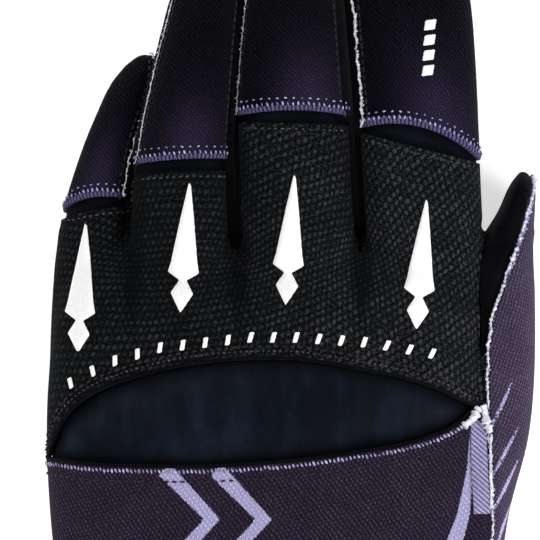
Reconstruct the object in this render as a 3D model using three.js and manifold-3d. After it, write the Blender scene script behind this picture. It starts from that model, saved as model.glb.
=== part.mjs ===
// A left-hand karting glove that lies palm down, in millimetres: +Y runs to the fingertips, +X to the
// thumb and +Z up from the palm, with the origin on the palm's resting face, under the knuckles.
// The hand, the four fingers and the thumb are lofted tubes. Their union, less the same tubes drawn
// inwards, is a thin hollow shell that is open at the wrist. Each sewn panel is a cut-out of it.
import * as THREE from "three";
import { mergeVertices } from "three/addons/utils/BufferGeometryUtils.js";
import Module from "manifold-3d";

const wasm = await Module();
wasm.setup();

// Driving sizes
const HAND_WIDTH = 103; // across the knuckles
const HAND_THICKNESS = 34; // palm face to the top of the knuckles
const PALM_LENGTH = 118; // origin to the open end of the cuff
const CUFF_LENGTH = 31;
const INDEX_LENGTH = 98.6; // each finger from its root inside the hand to its tip
const MIDDLE_LENGTH = 107;
const RING_LENGTH = 94.7;
const LITTLE_LENGTH = 77.5;
const THUMB_LENGTH = 123.5; // from its root near the wrist to its tip
const THUMB_THICKNESS = 27;
const FINGER_THICKNESS = 25;
const FINGER_GAP = 1; // left between neighbouring fingers

// Cloth
const PANEL_CLOTH = 1.1; // knitted back panels and the knuckle mesh
const PALM_CLOTH = 1.8;
const STRETCH_CLOTH = 1.1; // inserts sewn under the panels' hems
const CUFF_CLOTH = 2.2;
const SEAM_GAP = 0.3; // between pieces that are sewn together
const HEM_LAP = 3; // how far an insert runs under the hem that it is sewn to
const PRINT_DEPTH = 0.6; // raised knuckle marks and the seam tape
const LENS_HEIGHT = 25.5; // stretch insert behind the knuckles
const MARK_LENGTH = 31; // raised mark on each knuckle
const MARK_WIDTH = 7;
const TAPE_WIDTH = 4;
const TAPE_LENGTH = 25;

// Faceting
const HAND_SIDES = 28;
const FINGER_SIDES = 14;
const STEPS_PER_ROW = 1;
const TIP_ANGLES = [40, 74]; // latitudes of the rings that round off a tip, in degrees

// The hand's sections. along is a share of PALM_LENGTH, left and right of HAND_WIDTH, top and bottom
// of HAND_THICKNESS, and roll is in degrees.
const HAND_ROWS = [
  { along: -1.0, left: -0.427, right: 0.398, top: 0.84, bottom: 0.03, roll: 0 },
  { along: -0.88, left: -0.42, right: 0.388, top: 0.8, bottom: 0.02, roll: 0 },
  { along: -0.72, left: -0.413, right: 0.379, top: 0.78, bottom: -0.02, roll: 1 },
  { along: -0.54, left: -0.443, right: 0.403, top: 0.82, bottom: -0.05, roll: 2 },
  { along: -0.36, left: -0.48, right: 0.445, top: 0.89, bottom: -0.06, roll: 3 },
  { along: -0.19, left: -0.5, right: 0.478, top: 0.95, bottom: -0.06, roll: 4 },
  { along: -0.02, left: -0.508, right: 0.492, top: 0.99, bottom: -0.06, roll: 4 },
  { along: 0.14, left: -0.497, right: 0.492, top: 1.0, bottom: -0.05, roll: 4 },
  { along: 0.24, left: -0.482, right: 0.486, top: 0.94, bottom: -0.01, roll: 4 },
  { along: 0.31, left: -0.455, right: 0.46, top: 0.78, bottom: 0.13, roll: 4 },
  { along: 0.35, left: -0.43, right: 0.435, top: 0.6, bottom: 0.3, roll: 4 },
];

// The digits' sections. along is a share of the digit's length, side of HAND_WIDTH, rise of
// HAND_THICKNESS, wide (the half width) of HAND_WIDTH and thick (the half thickness) of the digit's
// thickness. A digit rolls towards the little finger's side, in degrees.
const INDEX_ROWS = [
  { along: 0.0, side: 0.354, rise: 0.52, wide: 0.142, thick: 0.48, roll: -4 },
  { along: 0.24, side: 0.354, rise: 0.525, wide: 0.143, thick: 0.42, roll: -4 },
  { along: 0.39, side: 0.347, rise: 0.51, wide: 0.145, thick: 0.39, roll: -4 },
  { along: 0.53, side: 0.341, rise: 0.49, wide: 0.146, thick: 0.375, roll: -4 },
  { along: 0.71, side: 0.328, rise: 0.415, wide: 0.146, thick: 0.35, roll: -3 },
  { along: 0.86, side: 0.315, rise: 0.32, wide: 0.142, thick: 0.32, roll: -2 },
  { along: 1.0, side: 0.302, rise: 0.235, wide: 0.134, thick: 0.3, roll: 0 },
];
const MIDDLE_ROWS = [
  { along: 0.0, side: 0.074, rise: 0.545, wide: 0.139, thick: 0.49, roll: 0 },
  { along: 0.23, side: 0.072, rise: 0.57, wide: 0.138, thick: 0.44, roll: 1 },
  { along: 0.38, side: 0.064, rise: 0.56, wide: 0.137, thick: 0.41, roll: 2 },
  { along: 0.53, side: 0.058, rise: 0.54, wide: 0.136, thick: 0.395, roll: 2 },
  { along: 0.69, side: 0.058, rise: 0.46, wide: 0.124, thick: 0.36, roll: 2 },
  { along: 0.85, side: 0.06, rise: 0.34, wide: 0.11, thick: 0.325, roll: 1 },
  { along: 1.0, side: 0.062, rise: 0.225, wide: 0.105, thick: 0.3, roll: 0 },
];
const RING_ROWS = [
  { along: 0.0, side: -0.189, rise: 0.5, wide: 0.131, thick: 0.48, roll: 8 },
  { along: 0.23, side: -0.193, rise: 0.52, wide: 0.126, thick: 0.43, roll: 12 },
  { along: 0.38, side: -0.194, rise: 0.524, wide: 0.12, thick: 0.395, roll: 15 },
  { along: 0.51, side: -0.19, rise: 0.524, wide: 0.116, thick: 0.375, roll: 17 },
  { along: 0.68, side: -0.17, rise: 0.505, wide: 0.106, thick: 0.34, roll: 18 },
  { along: 0.84, side: -0.148, rise: 0.425, wide: 0.092, thick: 0.31, roll: 16 },
  { along: 1.0, side: -0.124, rise: 0.3, wide: 0.08, thick: 0.28, roll: 12 },
];
const LITTLE_ROWS = [
  { along: 0.0, side: -0.393, rise: 0.36, wide: 0.107, thick: 0.44, roll: 24 },
  { along: 0.25, side: -0.394, rise: 0.345, wide: 0.101, thick: 0.38, roll: 29 },
  { along: 0.41, side: -0.39, rise: 0.305, wide: 0.095, thick: 0.35, roll: 33 },
  { along: 0.55, side: -0.377, rise: 0.27, wide: 0.089, thick: 0.325, roll: 35 },
  { along: 0.72, side: -0.346, rise: 0.232, wide: 0.08, thick: 0.29, roll: 35 },
  { along: 0.86, side: -0.31, rise: 0.203, wide: 0.072, thick: 0.26, roll: 32 },
  { along: 1.0, side: -0.275, rise: 0.183, wide: 0.064, thick: 0.235, roll: 28 },
];
const THUMB_ROWS = [
  { along: 0.0, side: 0.262, rise: 0.4, wide: 0.125, thick: 0.46, roll: 0 },
  { along: 0.21, side: 0.364, rise: 0.4, wide: 0.152, thick: 0.5, roll: 0 },
  { along: 0.365, side: 0.428, rise: 0.395, wide: 0.129, thick: 0.5, roll: 0 },
  { along: 0.485, side: 0.477, rise: 0.385, wide: 0.118, thick: 0.48, roll: 0 },
  { along: 0.6, side: 0.505, rise: 0.375, wide: 0.105, thick: 0.47, roll: 0 },
  { along: 0.755, side: 0.525, rise: 0.37, wide: 0.086, thick: 0.46, roll: 0 },
  { along: 0.845, side: 0.539, rise: 0.365, wide: 0.069, thick: 0.44, roll: 0 },
  { along: 0.925, side: 0.562, rise: 0.355, wide: 0.05, thick: 0.41, roll: 0 },
  { along: 1.0, side: 0.58, rise: 0.35, wide: 0.04, thick: 0.36, roll: 0 },
];

// Each finger's seams. back is the span of its back panel round the finger, in degrees from its
// thumb side over the top. The knuckle mesh ends at tongue and the back panel starts at hem: left,
// right and the bow between them are shares of the finger's length.
const FINGERS = [
  {
    name: "index", rows: INDEX_ROWS, length: INDEX_LENGTH, root: 0.119, tipFrom: 0.88,
    back: [-8, 152], tongue: { left: 0.54, right: 0.444, bow: -0.005 },
    hem: { left: 0.551, right: 0.47, bow: 0.054 },
    mark: { side: 0.333, foot: 0.17, lean: -5 },
  },
  {
    name: "middle", rows: MIDDLE_ROWS, length: MIDDLE_LENGTH, root: 0.119, tipFrom: 0.9,
    back: [28, 152], tongue: { left: 0.508, right: 0.5, bow: 0 },
    hem: { left: 0.53, right: 0.528, bow: 0.02 },
    mark: { side: 0.04, foot: 0.219, lean: -4 },
  },
  {
    name: "ring", rows: RING_ROWS, length: RING_LENGTH, root: 0.102, tipFrom: 0.89,
    back: [26, 168], tongue: { left: 0.46, right: 0.474, bow: 0.005 },
    hem: { left: 0.494, right: 0.512, bow: 0.016 },
    mark: { side: -0.197, foot: 0.203, lean: -4 },
  },
  {
    name: "little", rows: LITTLE_ROWS, length: LITTLE_LENGTH, root: 0.068, tipFrom: 0.89,
    back: [26, 188], tongue: { left: 0.47, right: 0.53, bow: 0.006 },
    hem: { left: 0.506, right: 0.572, bow: 0.026 },
    mark: { side: -0.43, foot: 0.124, lean: -3 },
  },
];
const THUMB_ROOT = -0.56; // share of PALM_LENGTH
const THUMB_TIP_FROM = 0.95;
const HAND_BACK = [-8, 188]; // span of the panels on the back of the hand, in degrees
const THUMB_TOP = [12, 168]; // and on the thumb's root, up to the thumb's own seam
const SIDE_STRIP = 54; // how far a fourchette reaches round a finger from its back panel, in degrees

// The part of a fourchette that joins its two strips in the crotch, seen from above: along is a
// share of PALM_LENGTH and half (the half width) of HAND_WIDTH.
const WEB_ROWS = [
  { along: 0.21, half: 0.004 },
  { along: 0.29, half: 0.018 },
  { along: 0.36, half: 0.03 },
];
const WEB_BOTTOM = 0.28; // share of HAND_THICKNESS

// The stretch insert's outline. across is a share of HAND_WIDTH, upper and lower of LENS_HEIGHT.
const LENS_ROWS = [
  { across: -0.53, upper: -0.4, lower: -0.41 },
  { across: -0.48, upper: -0.13, lower: -0.425 },
  { across: -0.441, upper: 0.08, lower: -0.445 },
  { across: -0.383, upper: 0.24, lower: -0.46 },
  { across: -0.269, upper: 0.4, lower: -0.468 },
  { across: -0.155, upper: 0.49, lower: -0.468 },
  { across: -0.041, upper: 0.53, lower: -0.445 },
  { across: 0.073, upper: 0.525, lower: -0.405 },
  { across: 0.187, upper: 0.45, lower: -0.34 },
  { across: 0.301, upper: 0.36, lower: -0.265 },
  { across: 0.392, upper: 0.24, lower: -0.157 },
  { across: 0.447, upper: 0.13, lower: -0.03 },
  { across: 0.475, upper: 0.09, lower: 0.08 },
  { across: 0.54, upper: 0.08, lower: 0.07 },
];

// The thumb's seam, seen from above: along is a share of THUMB_LENGTH from the thumb's root and
// across of HAND_WIDTH. The knitted back of the thumb lies outside it.
const THUMB_SEAM = [
  { along: 0.02, across: 0.4 },
  { along: 0.16, across: 0.472 },
  { along: 0.3, across: 0.505 },
  { along: 0.45, across: 0.5 },
  { along: 0.6, across: 0.494 },
  { along: 0.71, across: 0.502 },
  { along: 0.78, across: 0.529 },
  { along: 0.87, across: 0.568 },
  { along: 0.93, across: 0.59 },
  { along: 0.97, across: 0.603 },
];
const THUMB_FRONT_FROM = 0.65; // where the thumb's own front piece is sewn to the palm
const TAPE_TOP = 0.018; // upper end of the seam tape, a share of PALM_LENGTH

// Half of a knuckle mark's outline, from its point to its foot: across is a share of MARK_WIDTH and
// along of MARK_LENGTH.
const MARK_ROWS = [
  { across: 0, along: 1 },
  { across: 0.2, along: 0.72 },
  { across: 0.42, along: 0.38 },
  { across: 0.5, along: 0.3 },
  { across: 0.1, along: 0.24 },
  { across: 0.36, along: 0.14 },
  { across: 0, along: 0 },
];

// Layers, as offsets from the tubes' own surface
const FACE = 0;
const PANEL_BACK = FACE - PANEL_CLOTH;
const INSERT_FACE = PANEL_BACK - SEAM_GAP;
const INSERT_BACK = INSERT_FACE - STRETCH_CLOTH;
const PALM_BACK = FACE - PALM_CLOTH;
const CUFF_BACK = FACE - CUFF_CLOTH;
const PRINT_BACK = FACE + SEAM_GAP;
const PRINT_FACE = PRINT_BACK + PRINT_DEPTH;
const WEDGE_REACH = 0.5; // how far a cutting wedge stands out of the surface that it cuts
const FAR = 400; // larger than the glove
const SECTION_POWER = 2.5; // 2 would make the sections ellipses

// Solids

// A closed three.js geometry as a manifold solid.
function toSolid(geometry) {
  geometry.deleteAttribute("normal");
  geometry.deleteAttribute("uv");
  const merged = mergeVertices(geometry, 1e-4);
  return new wasm.Manifold(
    new wasm.Mesh({
      numProp: 3,
      vertProperties: new Float32Array(merged.attributes.position.array),
      triVerts: new Uint32Array(merged.index.array),
    }),
  );
}

const joined = (solids) => solids.reduce((all, solid) => all.add(solid));
const radians = THREE.MathUtils.degToRad;

// The closed skin over rings of points, each ring in the same turning sense about its own centre.
function loftSolid(rings) {
  const sides = rings[0].points.length;
  const positions = rings.flatMap(({ points }) => points.flatMap((p) => p.toArray()));
  const faces = [];
  for (let r = 0; r + 1 < rings.length; r++)
    for (let j = 0; j < sides; j++) {
      const a = r * sides + j;
      const b = r * sides + ((j + 1) % sides);
      faces.push(a, b, a + sides, b, b + sides, a + sides);
    }
  for (const [r, turned] of [[0, true], [rings.length - 1, false]]) {
    const hub = positions.length / 3;
    positions.push(...rings[r].centre.toArray());
    for (let j = 0; j < sides; j++) {
      const [a, b] = [r * sides + j, r * sides + ((j + 1) % sides)];
      faces.push(hub, turned ? b : a, turned ? a : b);
    }
  }
  const geometry = new THREE.BufferGeometry();
  geometry.setAttribute("position", new THREE.Float32BufferAttribute(positions, 3));
  geometry.setIndex(faces);
  const solid = toSolid(geometry);
  return solid.volume() < 0 ? loftSolid(rings.map(reversedRing)) : solid;
}

const reversedRing = ({ centre, points }) => ({ centre, points: [...points].reverse() });

// The upright prism on a closed outline of [x, y] points.
function prism(outline, low = -FAR, high = FAR) {
  const shape = new THREE.Shape(outline.map(([x, y]) => new THREE.Vector2(x, y)));
  const geometry = new THREE.ExtrudeGeometry(shape, { depth: high - low, bevelEnabled: false });
  return toSolid(geometry.translate(0, 0, low));
}

const block = (x0, x1, y0, y1, z0 = -FAR, z1 = FAR) =>
  prism([[x0, y0], [x1, y0], [x1, y1], [x0, y1]], z0, z1);

// Tubes

// A column of a table at a place between its rows, on a smooth curve through them.
function valueAt(rows, column, along) {
  let i = rows.findIndex((row) => row.along >= along) - 1;
  if (i < 0) i = along <= rows[0].along ? 0 : rows.length - 2;
  const [a, b] = [rows[i], rows[i + 1]];
  const before = rows[Math.max(i - 1, 0)];
  const after = rows[Math.min(i + 2, rows.length - 1)];
  const t = (along - a.along) / (b.along - a.along);
  const slopeA = (b[column] - before[column]) / (b.along - before.along || 1);
  const slopeB = (after[column] - a[column]) / (after.along - a.along || 1);
  const span = b.along - a.along;
  return (
    a[column] * (1 + 2 * t) * (1 - t) ** 2 +
    b[column] * t * t * (3 - 2 * t) +
    slopeA * span * t * (1 - t) ** 2 -
    slopeB * span * t * t * (1 - t)
  );
}

// The places of a tube's sections: its rows, with more between them.
function stations(rows) {
  const list = rows.slice(0, -1).flatMap((row, i) =>
    Array.from({ length: STEPS_PER_ROW }, (_, k) =>
      THREE.MathUtils.lerp(row.along, rows[i + 1].along, k / STEPS_PER_ROW)),
  );
  return [...list, rows.at(-1).along];
}

// A section: its centre, its half width and half thickness and the axes that these lie along.
function handSection(along) {
  const at = (column) => valueAt(HAND_ROWS, column, along);
  const [left, right, top, bottom] = [
    at("left") * HAND_WIDTH, at("right") * HAND_WIDTH,
    at("top") * HAND_THICKNESS, at("bottom") * HAND_THICKNESS,
  ];
  return section(
    new THREE.Vector3((left + right) / 2, along * PALM_LENGTH, (top + bottom) / 2),
    (right - left) / 2, (top - bottom) / 2, at("roll"),
  );
}

function digitSection(digit, along) {
  const at = (column) => valueAt(digit.rows, column, along);
  const trim = digit.trim / 2;
  return section(
    new THREE.Vector3(
      at("side") * HAND_WIDTH,
      digit.root * PALM_LENGTH + along * digit.length,
      at("rise") * HAND_THICKNESS,
    ),
    at("wide") * HAND_WIDTH - trim, at("thick") * digit.thickness, at("roll"),
  );
}

function section(centre, halfWidth, halfThickness, roll) {
  const turn = radians(roll);
  return {
    centre, halfWidth, halfThickness,
    across: new THREE.Vector3(Math.cos(turn), 0, Math.sin(turn)),
    up: new THREE.Vector3(-Math.sin(turn), 0, Math.cos(turn)),
  };
}

// A point of a section's outline, drawn out by an offset. The angle runs from the thumb side over
// the top.
function outlinePoint(s, degrees, offset) {
  const round = (v) => Math.sign(v) * Math.abs(v) ** (2 / SECTION_POWER);
  const turn = radians(degrees);
  return s.centre.clone()
    .addScaledVector(s.across, (s.halfWidth + offset) * round(Math.cos(turn)))
    .addScaledVector(s.up, (s.halfThickness + offset) * round(Math.sin(turn)));
}

// All the sections of a tube at an offset. A digit's tip is rounded off.
function handSections(offset) {
  const list = stations(HAND_ROWS).map(handSection);
  list.at(-1).centre.y += offset;
  return list;
}

function digitSections(digit, offset) {
  const list = stations(digit.rows).filter((along) => along < digit.tipFrom);
  const sections = [...list, digit.tipFrom].map((along) => digitSection(digit, along));
  const tipLength = (1 - digit.tipFrom) * digit.length + offset;
  for (const latitude of TIP_ANGLES) {
    const reach = tipLength * Math.sin(radians(latitude));
    const s = digitSection(digit, digit.tipFrom + reach / digit.length);
    const left = Math.cos(radians(latitude));
    s.halfWidth = (s.halfWidth + offset) * left - offset;
    s.halfThickness = (s.halfThickness + offset) * left - offset;
    sections.push(s);
  }
  return sections;
}

const angles = (count, from = 0, to = 360) =>
  Array.from({ length: count }, (_, j) => from + ((to - from) * j) / (to - from < 360 ? count - 1 : count));

const ringOf = (s, offset, sides) => ({
  centre: s.centre,
  points: angles(sides).map((angle) => outlinePoint(s, angle, offset)),
});

// A part of a tube between two angles, in sections from its centre outwards. It stands out of the
// tube by WEDGE_REACH and is widened at both angles by a gap.
function wedge(sections, [from, to], gap, sides) {
  const count = Math.max(3, Math.ceil((sides * (to - from)) / 360) + 1);
  return loftSolid(sections.map((s) => {
    const spare = THREE.MathUtils.radToDeg(gap / Math.max(3, Math.min(s.halfWidth, s.halfThickness)));
    const arc = [...(gap ? [from - spare] : []), ...angles(count, from, to), ...(gap ? [to + spare] : [])];
    return {
      centre: outlinePoint(s, (from + to) / 2, -Math.min(s.halfWidth, s.halfThickness) / 2),
      points: [s.centre, ...arc.map((angle) => outlinePoint(s, angle, WEDGE_REACH))],
    };
  }));
}

const above = (height) => block(-FAR, FAR, -FAR, FAR, height);

const THUMB = {
  name: "thumb", rows: THUMB_ROWS, length: THUMB_LENGTH, thickness: THUMB_THICKNESS,
  root: THUMB_ROOT, tipFrom: THUMB_TIP_FROM, trim: 0,
};
const DIGITS = [
  ...FINGERS.map((f) => ({ ...f, thickness: FINGER_THICKNESS, trim: FINGER_GAP })),
  THUMB,
];

// Everything inside the glove's surface at an offset, flat where it lies on the table. An inner one
// runs on past the cuff, so that the shell is open there.
function handTube(offset) {
  const sections = handSections(offset);
  const mouth = { ...sections[0], centre: sections[0].centre.clone() };
  mouth.centre.y -= offset < FACE ? HEM_LAP : 0;
  return loftSolid([mouth, ...sections.slice(offset < FACE ? 0 : 1)]
    .map((s) => ringOf(s, offset, HAND_SIDES)));
}

const digitTube = (digit, offset) =>
  loftSolid(digitSections(digit, offset).map((s) => ringOf(s, offset, FINGER_SIDES)));

const onTable = (solid, offset) => solid.intersect(above(Math.max(0, -offset)));
const bodies = new Map();

function body(offset) {
  if (!bodies.has(offset)) {
    const tubes = [handTube(offset), ...DIGITS.map((digit) => digitTube(digit, offset))];
    bodies.set(offset, onTable(joined(tubes), offset));
  }
  return bodies.get(offset);
}

const shell = (outer, inner) => body(outer).subtract(body(inner));
const digitShell = (digit, outer, inner) =>
  onTable(digitTube(digit, outer), outer).subtract(onTable(digitTube(digit, inner), inner));

// Seams

// A smooth line through a table's points, as [x, y] pairs.
function smoothLine(points, steps = 2) {
  const curve = new THREE.SplineCurve(points.map(([x, y]) => new THREE.Vector2(x, y)));
  return curve.getPoints(points.length * steps).map((p) => [p.x, p.y]);
}

const shifted = (line, dx, dy) => line.map(([x, y]) => [x + dx, y + dy]);
const lensLine = (edge) =>
  smoothLine(LENS_ROWS.map((row) => [row.across * HAND_WIDTH, row[edge] * LENS_HEIGHT]));

// The prism on everything beyond a line that crosses the glove, towards the fingertips.
const beyond = (line, dy = 0) =>
  prism([
    ...shifted(line, 0, dy),
    [Math.max(line.at(-1)[0], FAR / 2), line.at(-1)[1] + dy],
    [FAR / 2, FAR], [-FAR / 2, FAR],
    [-FAR / 2, line[0][1] + dy],
  ]);

// A seam across a finger: left, right and bow are shares of the finger's length.
function fingerLine(finger, seam) {
  const y = (share) => finger.root * PALM_LENGTH + share * finger.length;
  const middle = digitSection(finger, (seam.left + seam.right) / 2);
  const reach = middle.halfWidth * 1.3;
  const at = (u) => seam.left + (seam.right - seam.left) * u + seam.bow * 4 * u * (1 - u);
  return [0, 0.2, 0.4, 0.6, 0.8, 1].map((u) =>
    [middle.centre.x + (2 * u - 1) * reach, y(at(u))]);
}

const digitWedge = (digit, span, gap) =>
  wedge(digitSections(digit, WEDGE_REACH), span, gap, FINGER_SIDES);
const fingerBack = (finger, gap) => digitWedge(finger, finger.back, gap);

const fingers = DIGITS.filter((digit) => digit !== THUMB);
const tongueLine = (finger) => fingerLine(finger, finger.tongue);
const hemLine = (finger) => fingerLine(finger, finger.hem);
const wristLine = -PALM_LENGTH + CUFF_LENGTH;

// The whole back of the glove, widened by a gap.
const backRegion = (gap) =>
  joined([
    wedge(handSections(WEDGE_REACH), HAND_BACK, gap, HAND_SIDES),
    digitWedge(THUMB, THUMB_TOP, gap),
    ...fingers.map((finger) => fingerBack(finger, gap)),
  ]);

// Outside the thumb's seam, seen from above, widened by a gap.
function thumbBackRegion(gap) {
  const y = (share) => THUMB_ROOT * PALM_LENGTH + share * THUMB_LENGTH;
  const seam = smoothLine(THUMB_SEAM.map((row) => [row.across * HAND_WIDTH, y(row.along)]));
  const line = shifted(seam, -gap, 0);
  return prism([
    ...line, [FAR, line.at(-1)[1]], [FAR, line[0][1] - gap], [line[0][0], line[0][1] - gap],
  ]);
}

// The thumb's free end, which the front piece wraps, widened by a gap.
function thumbFrontRegion(gap) {
  const from = THUMB_ROOT * PALM_LENGTH + THUMB_FRONT_FROM * THUMB_LENGTH;
  return digitTube(THUMB, gap + SEAM_GAP).intersect(block(-FAR, FAR, from - gap, FAR));
}

// The crotch between two fingers, widened by a gap.
function webRegion(a, b, gap) {
  const edges = WEB_ROWS.map(({ along, half }) => {
    const [p, q] = [a, b].map((digit) =>
      digitSection(digit, ((along - digit.root) * PALM_LENGTH) / digit.length));
    const middle = (p.centre.x - p.halfWidth + q.centre.x + q.halfWidth) / 2;
    return { y: along * PALM_LENGTH, middle, half: half * HAND_WIDTH + gap };
  });
  edges[0].y -= gap;
  return prism([
    ...edges.map(({ y, middle, half }) => [middle + half, y]),
    ...edges.reverse().map(({ y, middle, half }) => [middle - half, y]),
  ], WEB_BOTTOM * HAND_THICKNESS - gap);
}

// Pieces

const pieces = new THREE.Group();
const CLOTH = {
  knit: { color: 0x282231, roughness: 0.85 },
  mesh: { color: 0x17181c, roughness: 0.9 },
  stretch: { color: 0x141924, roughness: 0.6 },
  suede: { color: 0x0b0b0d, roughness: 0.95 },
  tape: { color: 0xb4accd, roughness: 0.8 },
  print: { color: 0xfafafa, roughness: 0.45 },
};

function addPiece(name, cloth, solid) {
  const bodiesBySize = solid.decompose().sort((a, b) => b.volume() - a.volume());
  const { vertProperties, triVerts } = bodiesBySize[0].getMesh();
  const geometry = new THREE.BufferGeometry();
  geometry.setAttribute("position", new THREE.BufferAttribute(vertProperties, 3));
  geometry.setIndex(new THREE.BufferAttribute(triVerts, 1));
  geometry.computeVertexNormals();
  const mesh = new THREE.Mesh(
    geometry, new THREE.MeshStandardMaterial({ metalness: 0, ...CLOTH[cloth] }),
  );
  mesh.name = name;
  pieces.add(mesh);
}

const neighbours = fingers.slice(1).map((finger, i) => [fingers[i], finger]);
const webs = joined(neighbours.map(([a, b]) => webRegion(a, b, SEAM_GAP)))
  .subtract(joined(fingers.map((finger) => fingerBack(finger, 0))));
const lensUpper = lensLine("upper");
const lensLower = lensLine("lower");
const thumbSide = thumbBackRegion(SEAM_GAP);
const thumbTube = thumbFrontRegion(SEAM_GAP);
const beyondTongues = joined(fingers.map((finger) =>
  fingerBack(finger, SEAM_GAP).intersect(beyond(tongueLine(finger)))));
const backOfGlove = shell(FACE, PANEL_BACK)
  .intersect(backRegion(0)).subtract(thumbSide).subtract(thumbTube);

// Elastic cuff, open at the wrist
const cuffBlock = block(-FAR, FAR, -FAR, wristLine - SEAM_GAP);
addPiece("cuff", "knit", shell(FACE, CUFF_BACK).intersect(cuffBlock));

// Knitted panel between the cuff and the stretch insert
addPiece("back_panel", "knit", backOfGlove
  .intersect(block(-FAR, FAR, wristLine, FAR)).subtract(beyond(lensLower, -SEAM_GAP)));

// Mesh over the knuckles, with a tongue on each finger
addPiece("knuckle_panel", "mesh", backOfGlove
  .intersect(beyond(lensUpper, SEAM_GAP)).subtract(beyondTongues).subtract(webs));

// Stretch insert, sewn under the panels on both sides of it
addPiece("stretch_insert", "stretch", shell(INSERT_FACE, INSERT_BACK)
  .intersect(backRegion(0)).subtract(thumbSide).subtract(thumbTube)
  .intersect(beyond(lensLower, -HEM_LAP)).subtract(beyond(lensUpper, HEM_LAP)));

// Back of each finger, and the stretch gusset under its hem
for (const finger of fingers) {
  const back = fingerBack(finger, 0);
  addPiece(`finger_back_${finger.name}`, "knit",
    digitShell(finger, FACE, PANEL_BACK).intersect(back).intersect(beyond(hemLine(finger))));
  addPiece(`finger_flex_${finger.name}`, "stretch",
    digitShell(finger, INSERT_FACE, INSERT_BACK).intersect(back)
      .intersect(beyond(tongueLine(finger), -HEM_LAP))
      .subtract(beyond(hemLine(finger), HEM_LAP)));
}

// Strips between neighbouring fingers
const stripSpan = ({ back: [from, to] }, side) =>
  side === "left" ? [to, to + SIDE_STRIP] : [from - SIDE_STRIP, from];
const stripRegion = (a, b, gap) =>
  joined([
    digitWedge(a, stripSpan(a, "left"), gap), digitWedge(b, stripSpan(b, "right"), gap),
    webRegion(a, b, gap),
  ]);
const backWithGap = backRegion(SEAM_GAP);
const fingerBacks = joined(fingers.map((finger) => fingerBack(finger, SEAM_GAP)));
for (const [a, b] of neighbours) {
  const web = webRegion(a, b, 0).subtract(fingerBacks);
  addPiece(`fourchette_${a.name}_${b.name}`, "suede", shell(FACE, PALM_BACK)
    .intersect(stripRegion(a, b, 0).subtract(backWithGap).add(web)).subtract(thumbTube));
}

// Thumb
addPiece("thumb_back", "knit", shell(FACE, PANEL_BACK).intersect(thumbBackRegion(0)));
addPiece("thumb_front", "suede", shell(FACE, PALM_BACK)
  .intersect(thumbFrontRegion(0)).subtract(thumbSide));

// Palm, with the fronts of the four fingers
const aroundPalm = joined([
  backWithGap, thumbSide, thumbTube, block(-FAR, FAR, -FAR, wristLine),
  ...neighbours.map(([a, b]) => stripRegion(a, b, SEAM_GAP)),
]);
addPiece("palm", "suede", shell(FACE, PALM_BACK).subtract(aroundPalm));

// Tape over the seam beside the thumb
const seamEdge = thumbBackRegion(SEAM_GAP);
const tapeTop = TAPE_TOP * PALM_LENGTH;
addPiece("thumb_seam_tape", "tape", shell(PRINT_FACE, PRINT_BACK)
  .intersect(block(0, FAR, tapeTop - TAPE_LENGTH, tapeTop, HAND_THICKNESS / 2))
  .intersect(seamEdge.translate(-TAPE_WIDTH, 0, 0)).subtract(seamEdge));

// Raised mark on each knuckle
for (const finger of fingers) {
  const half = MARK_ROWS.map((row) => [row.across * MARK_WIDTH, row.along * MARK_LENGTH]);
  const mirrored = half.slice(1, -1).reverse().map(([x, y]) => [-x, y]);
  const stamp = prism([...half, ...mirrored], HAND_THICKNESS / 3)
    .rotate(0, 0, finger.mark.lean)
    .translate(finger.mark.side * HAND_WIDTH, finger.mark.foot * PALM_LENGTH, 0);
  addPiece(`knuckle_mark_${finger.name}`, "print", shell(PRINT_FACE, PRINT_BACK).intersect(stamp));
}

export default pieces;
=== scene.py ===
import math
from types import SimpleNamespace

import bpy
import numpy as np
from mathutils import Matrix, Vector
from mathutils.bvhtree import BVHTree
from mathutils.kdtree import KDTree


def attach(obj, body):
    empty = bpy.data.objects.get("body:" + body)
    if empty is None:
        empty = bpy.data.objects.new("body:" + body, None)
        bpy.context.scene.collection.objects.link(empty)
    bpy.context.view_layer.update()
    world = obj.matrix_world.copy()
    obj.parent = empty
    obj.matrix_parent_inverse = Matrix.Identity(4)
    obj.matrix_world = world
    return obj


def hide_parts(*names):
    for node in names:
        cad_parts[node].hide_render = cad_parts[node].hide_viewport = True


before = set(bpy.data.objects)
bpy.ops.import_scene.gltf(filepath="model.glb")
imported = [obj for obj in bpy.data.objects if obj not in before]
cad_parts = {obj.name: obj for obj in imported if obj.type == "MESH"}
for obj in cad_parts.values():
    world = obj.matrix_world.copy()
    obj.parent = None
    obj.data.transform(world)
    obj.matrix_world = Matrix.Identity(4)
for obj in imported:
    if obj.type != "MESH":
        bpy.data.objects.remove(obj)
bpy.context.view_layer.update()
scene = bpy.context.scene


# The table. The glove lies palm down on a plain pale table top, just under the flat of its palm.
# Broad soft lamps stand round it, and the camera looks straight down through a long lens.
def plain_mesh(name, points, faces):
    """A mesh object from points in millimetres."""
    mesh = bpy.data.meshes.new(name)
    points = np.asarray(points, float)
    mesh.from_pydata((points * 0.001).tolist(), [], [list(map(int, f)) for f in faces])
    mesh.update()
    piece = bpy.data.objects.new(name, mesh)
    scene.collection.objects.link(piece)
    return piece


def cloth_material(name, colour, roughness, specular=0.2, sheen=0.0, sheen_tint=(1, 1, 1)):
    """A material whose shader holds the finish, with its colour in linear light."""
    made = bpy.data.materials.new(name)
    made.use_nodes = True
    shader = made.node_tree.nodes["Principled BSDF"]
    shader.inputs["Base Color"].default_value = (*colour, 1)
    shader.inputs["Roughness"].default_value = roughness
    shader.inputs["Specular IOR Level"].default_value = specular
    shader.inputs["Sheen Weight"].default_value = sheen
    shader.inputs["Sheen Roughness"].default_value = 0.5
    shader.inputs["Sheen Tint"].default_value = (*sheen_tint, 1)
    return made, shader


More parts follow.
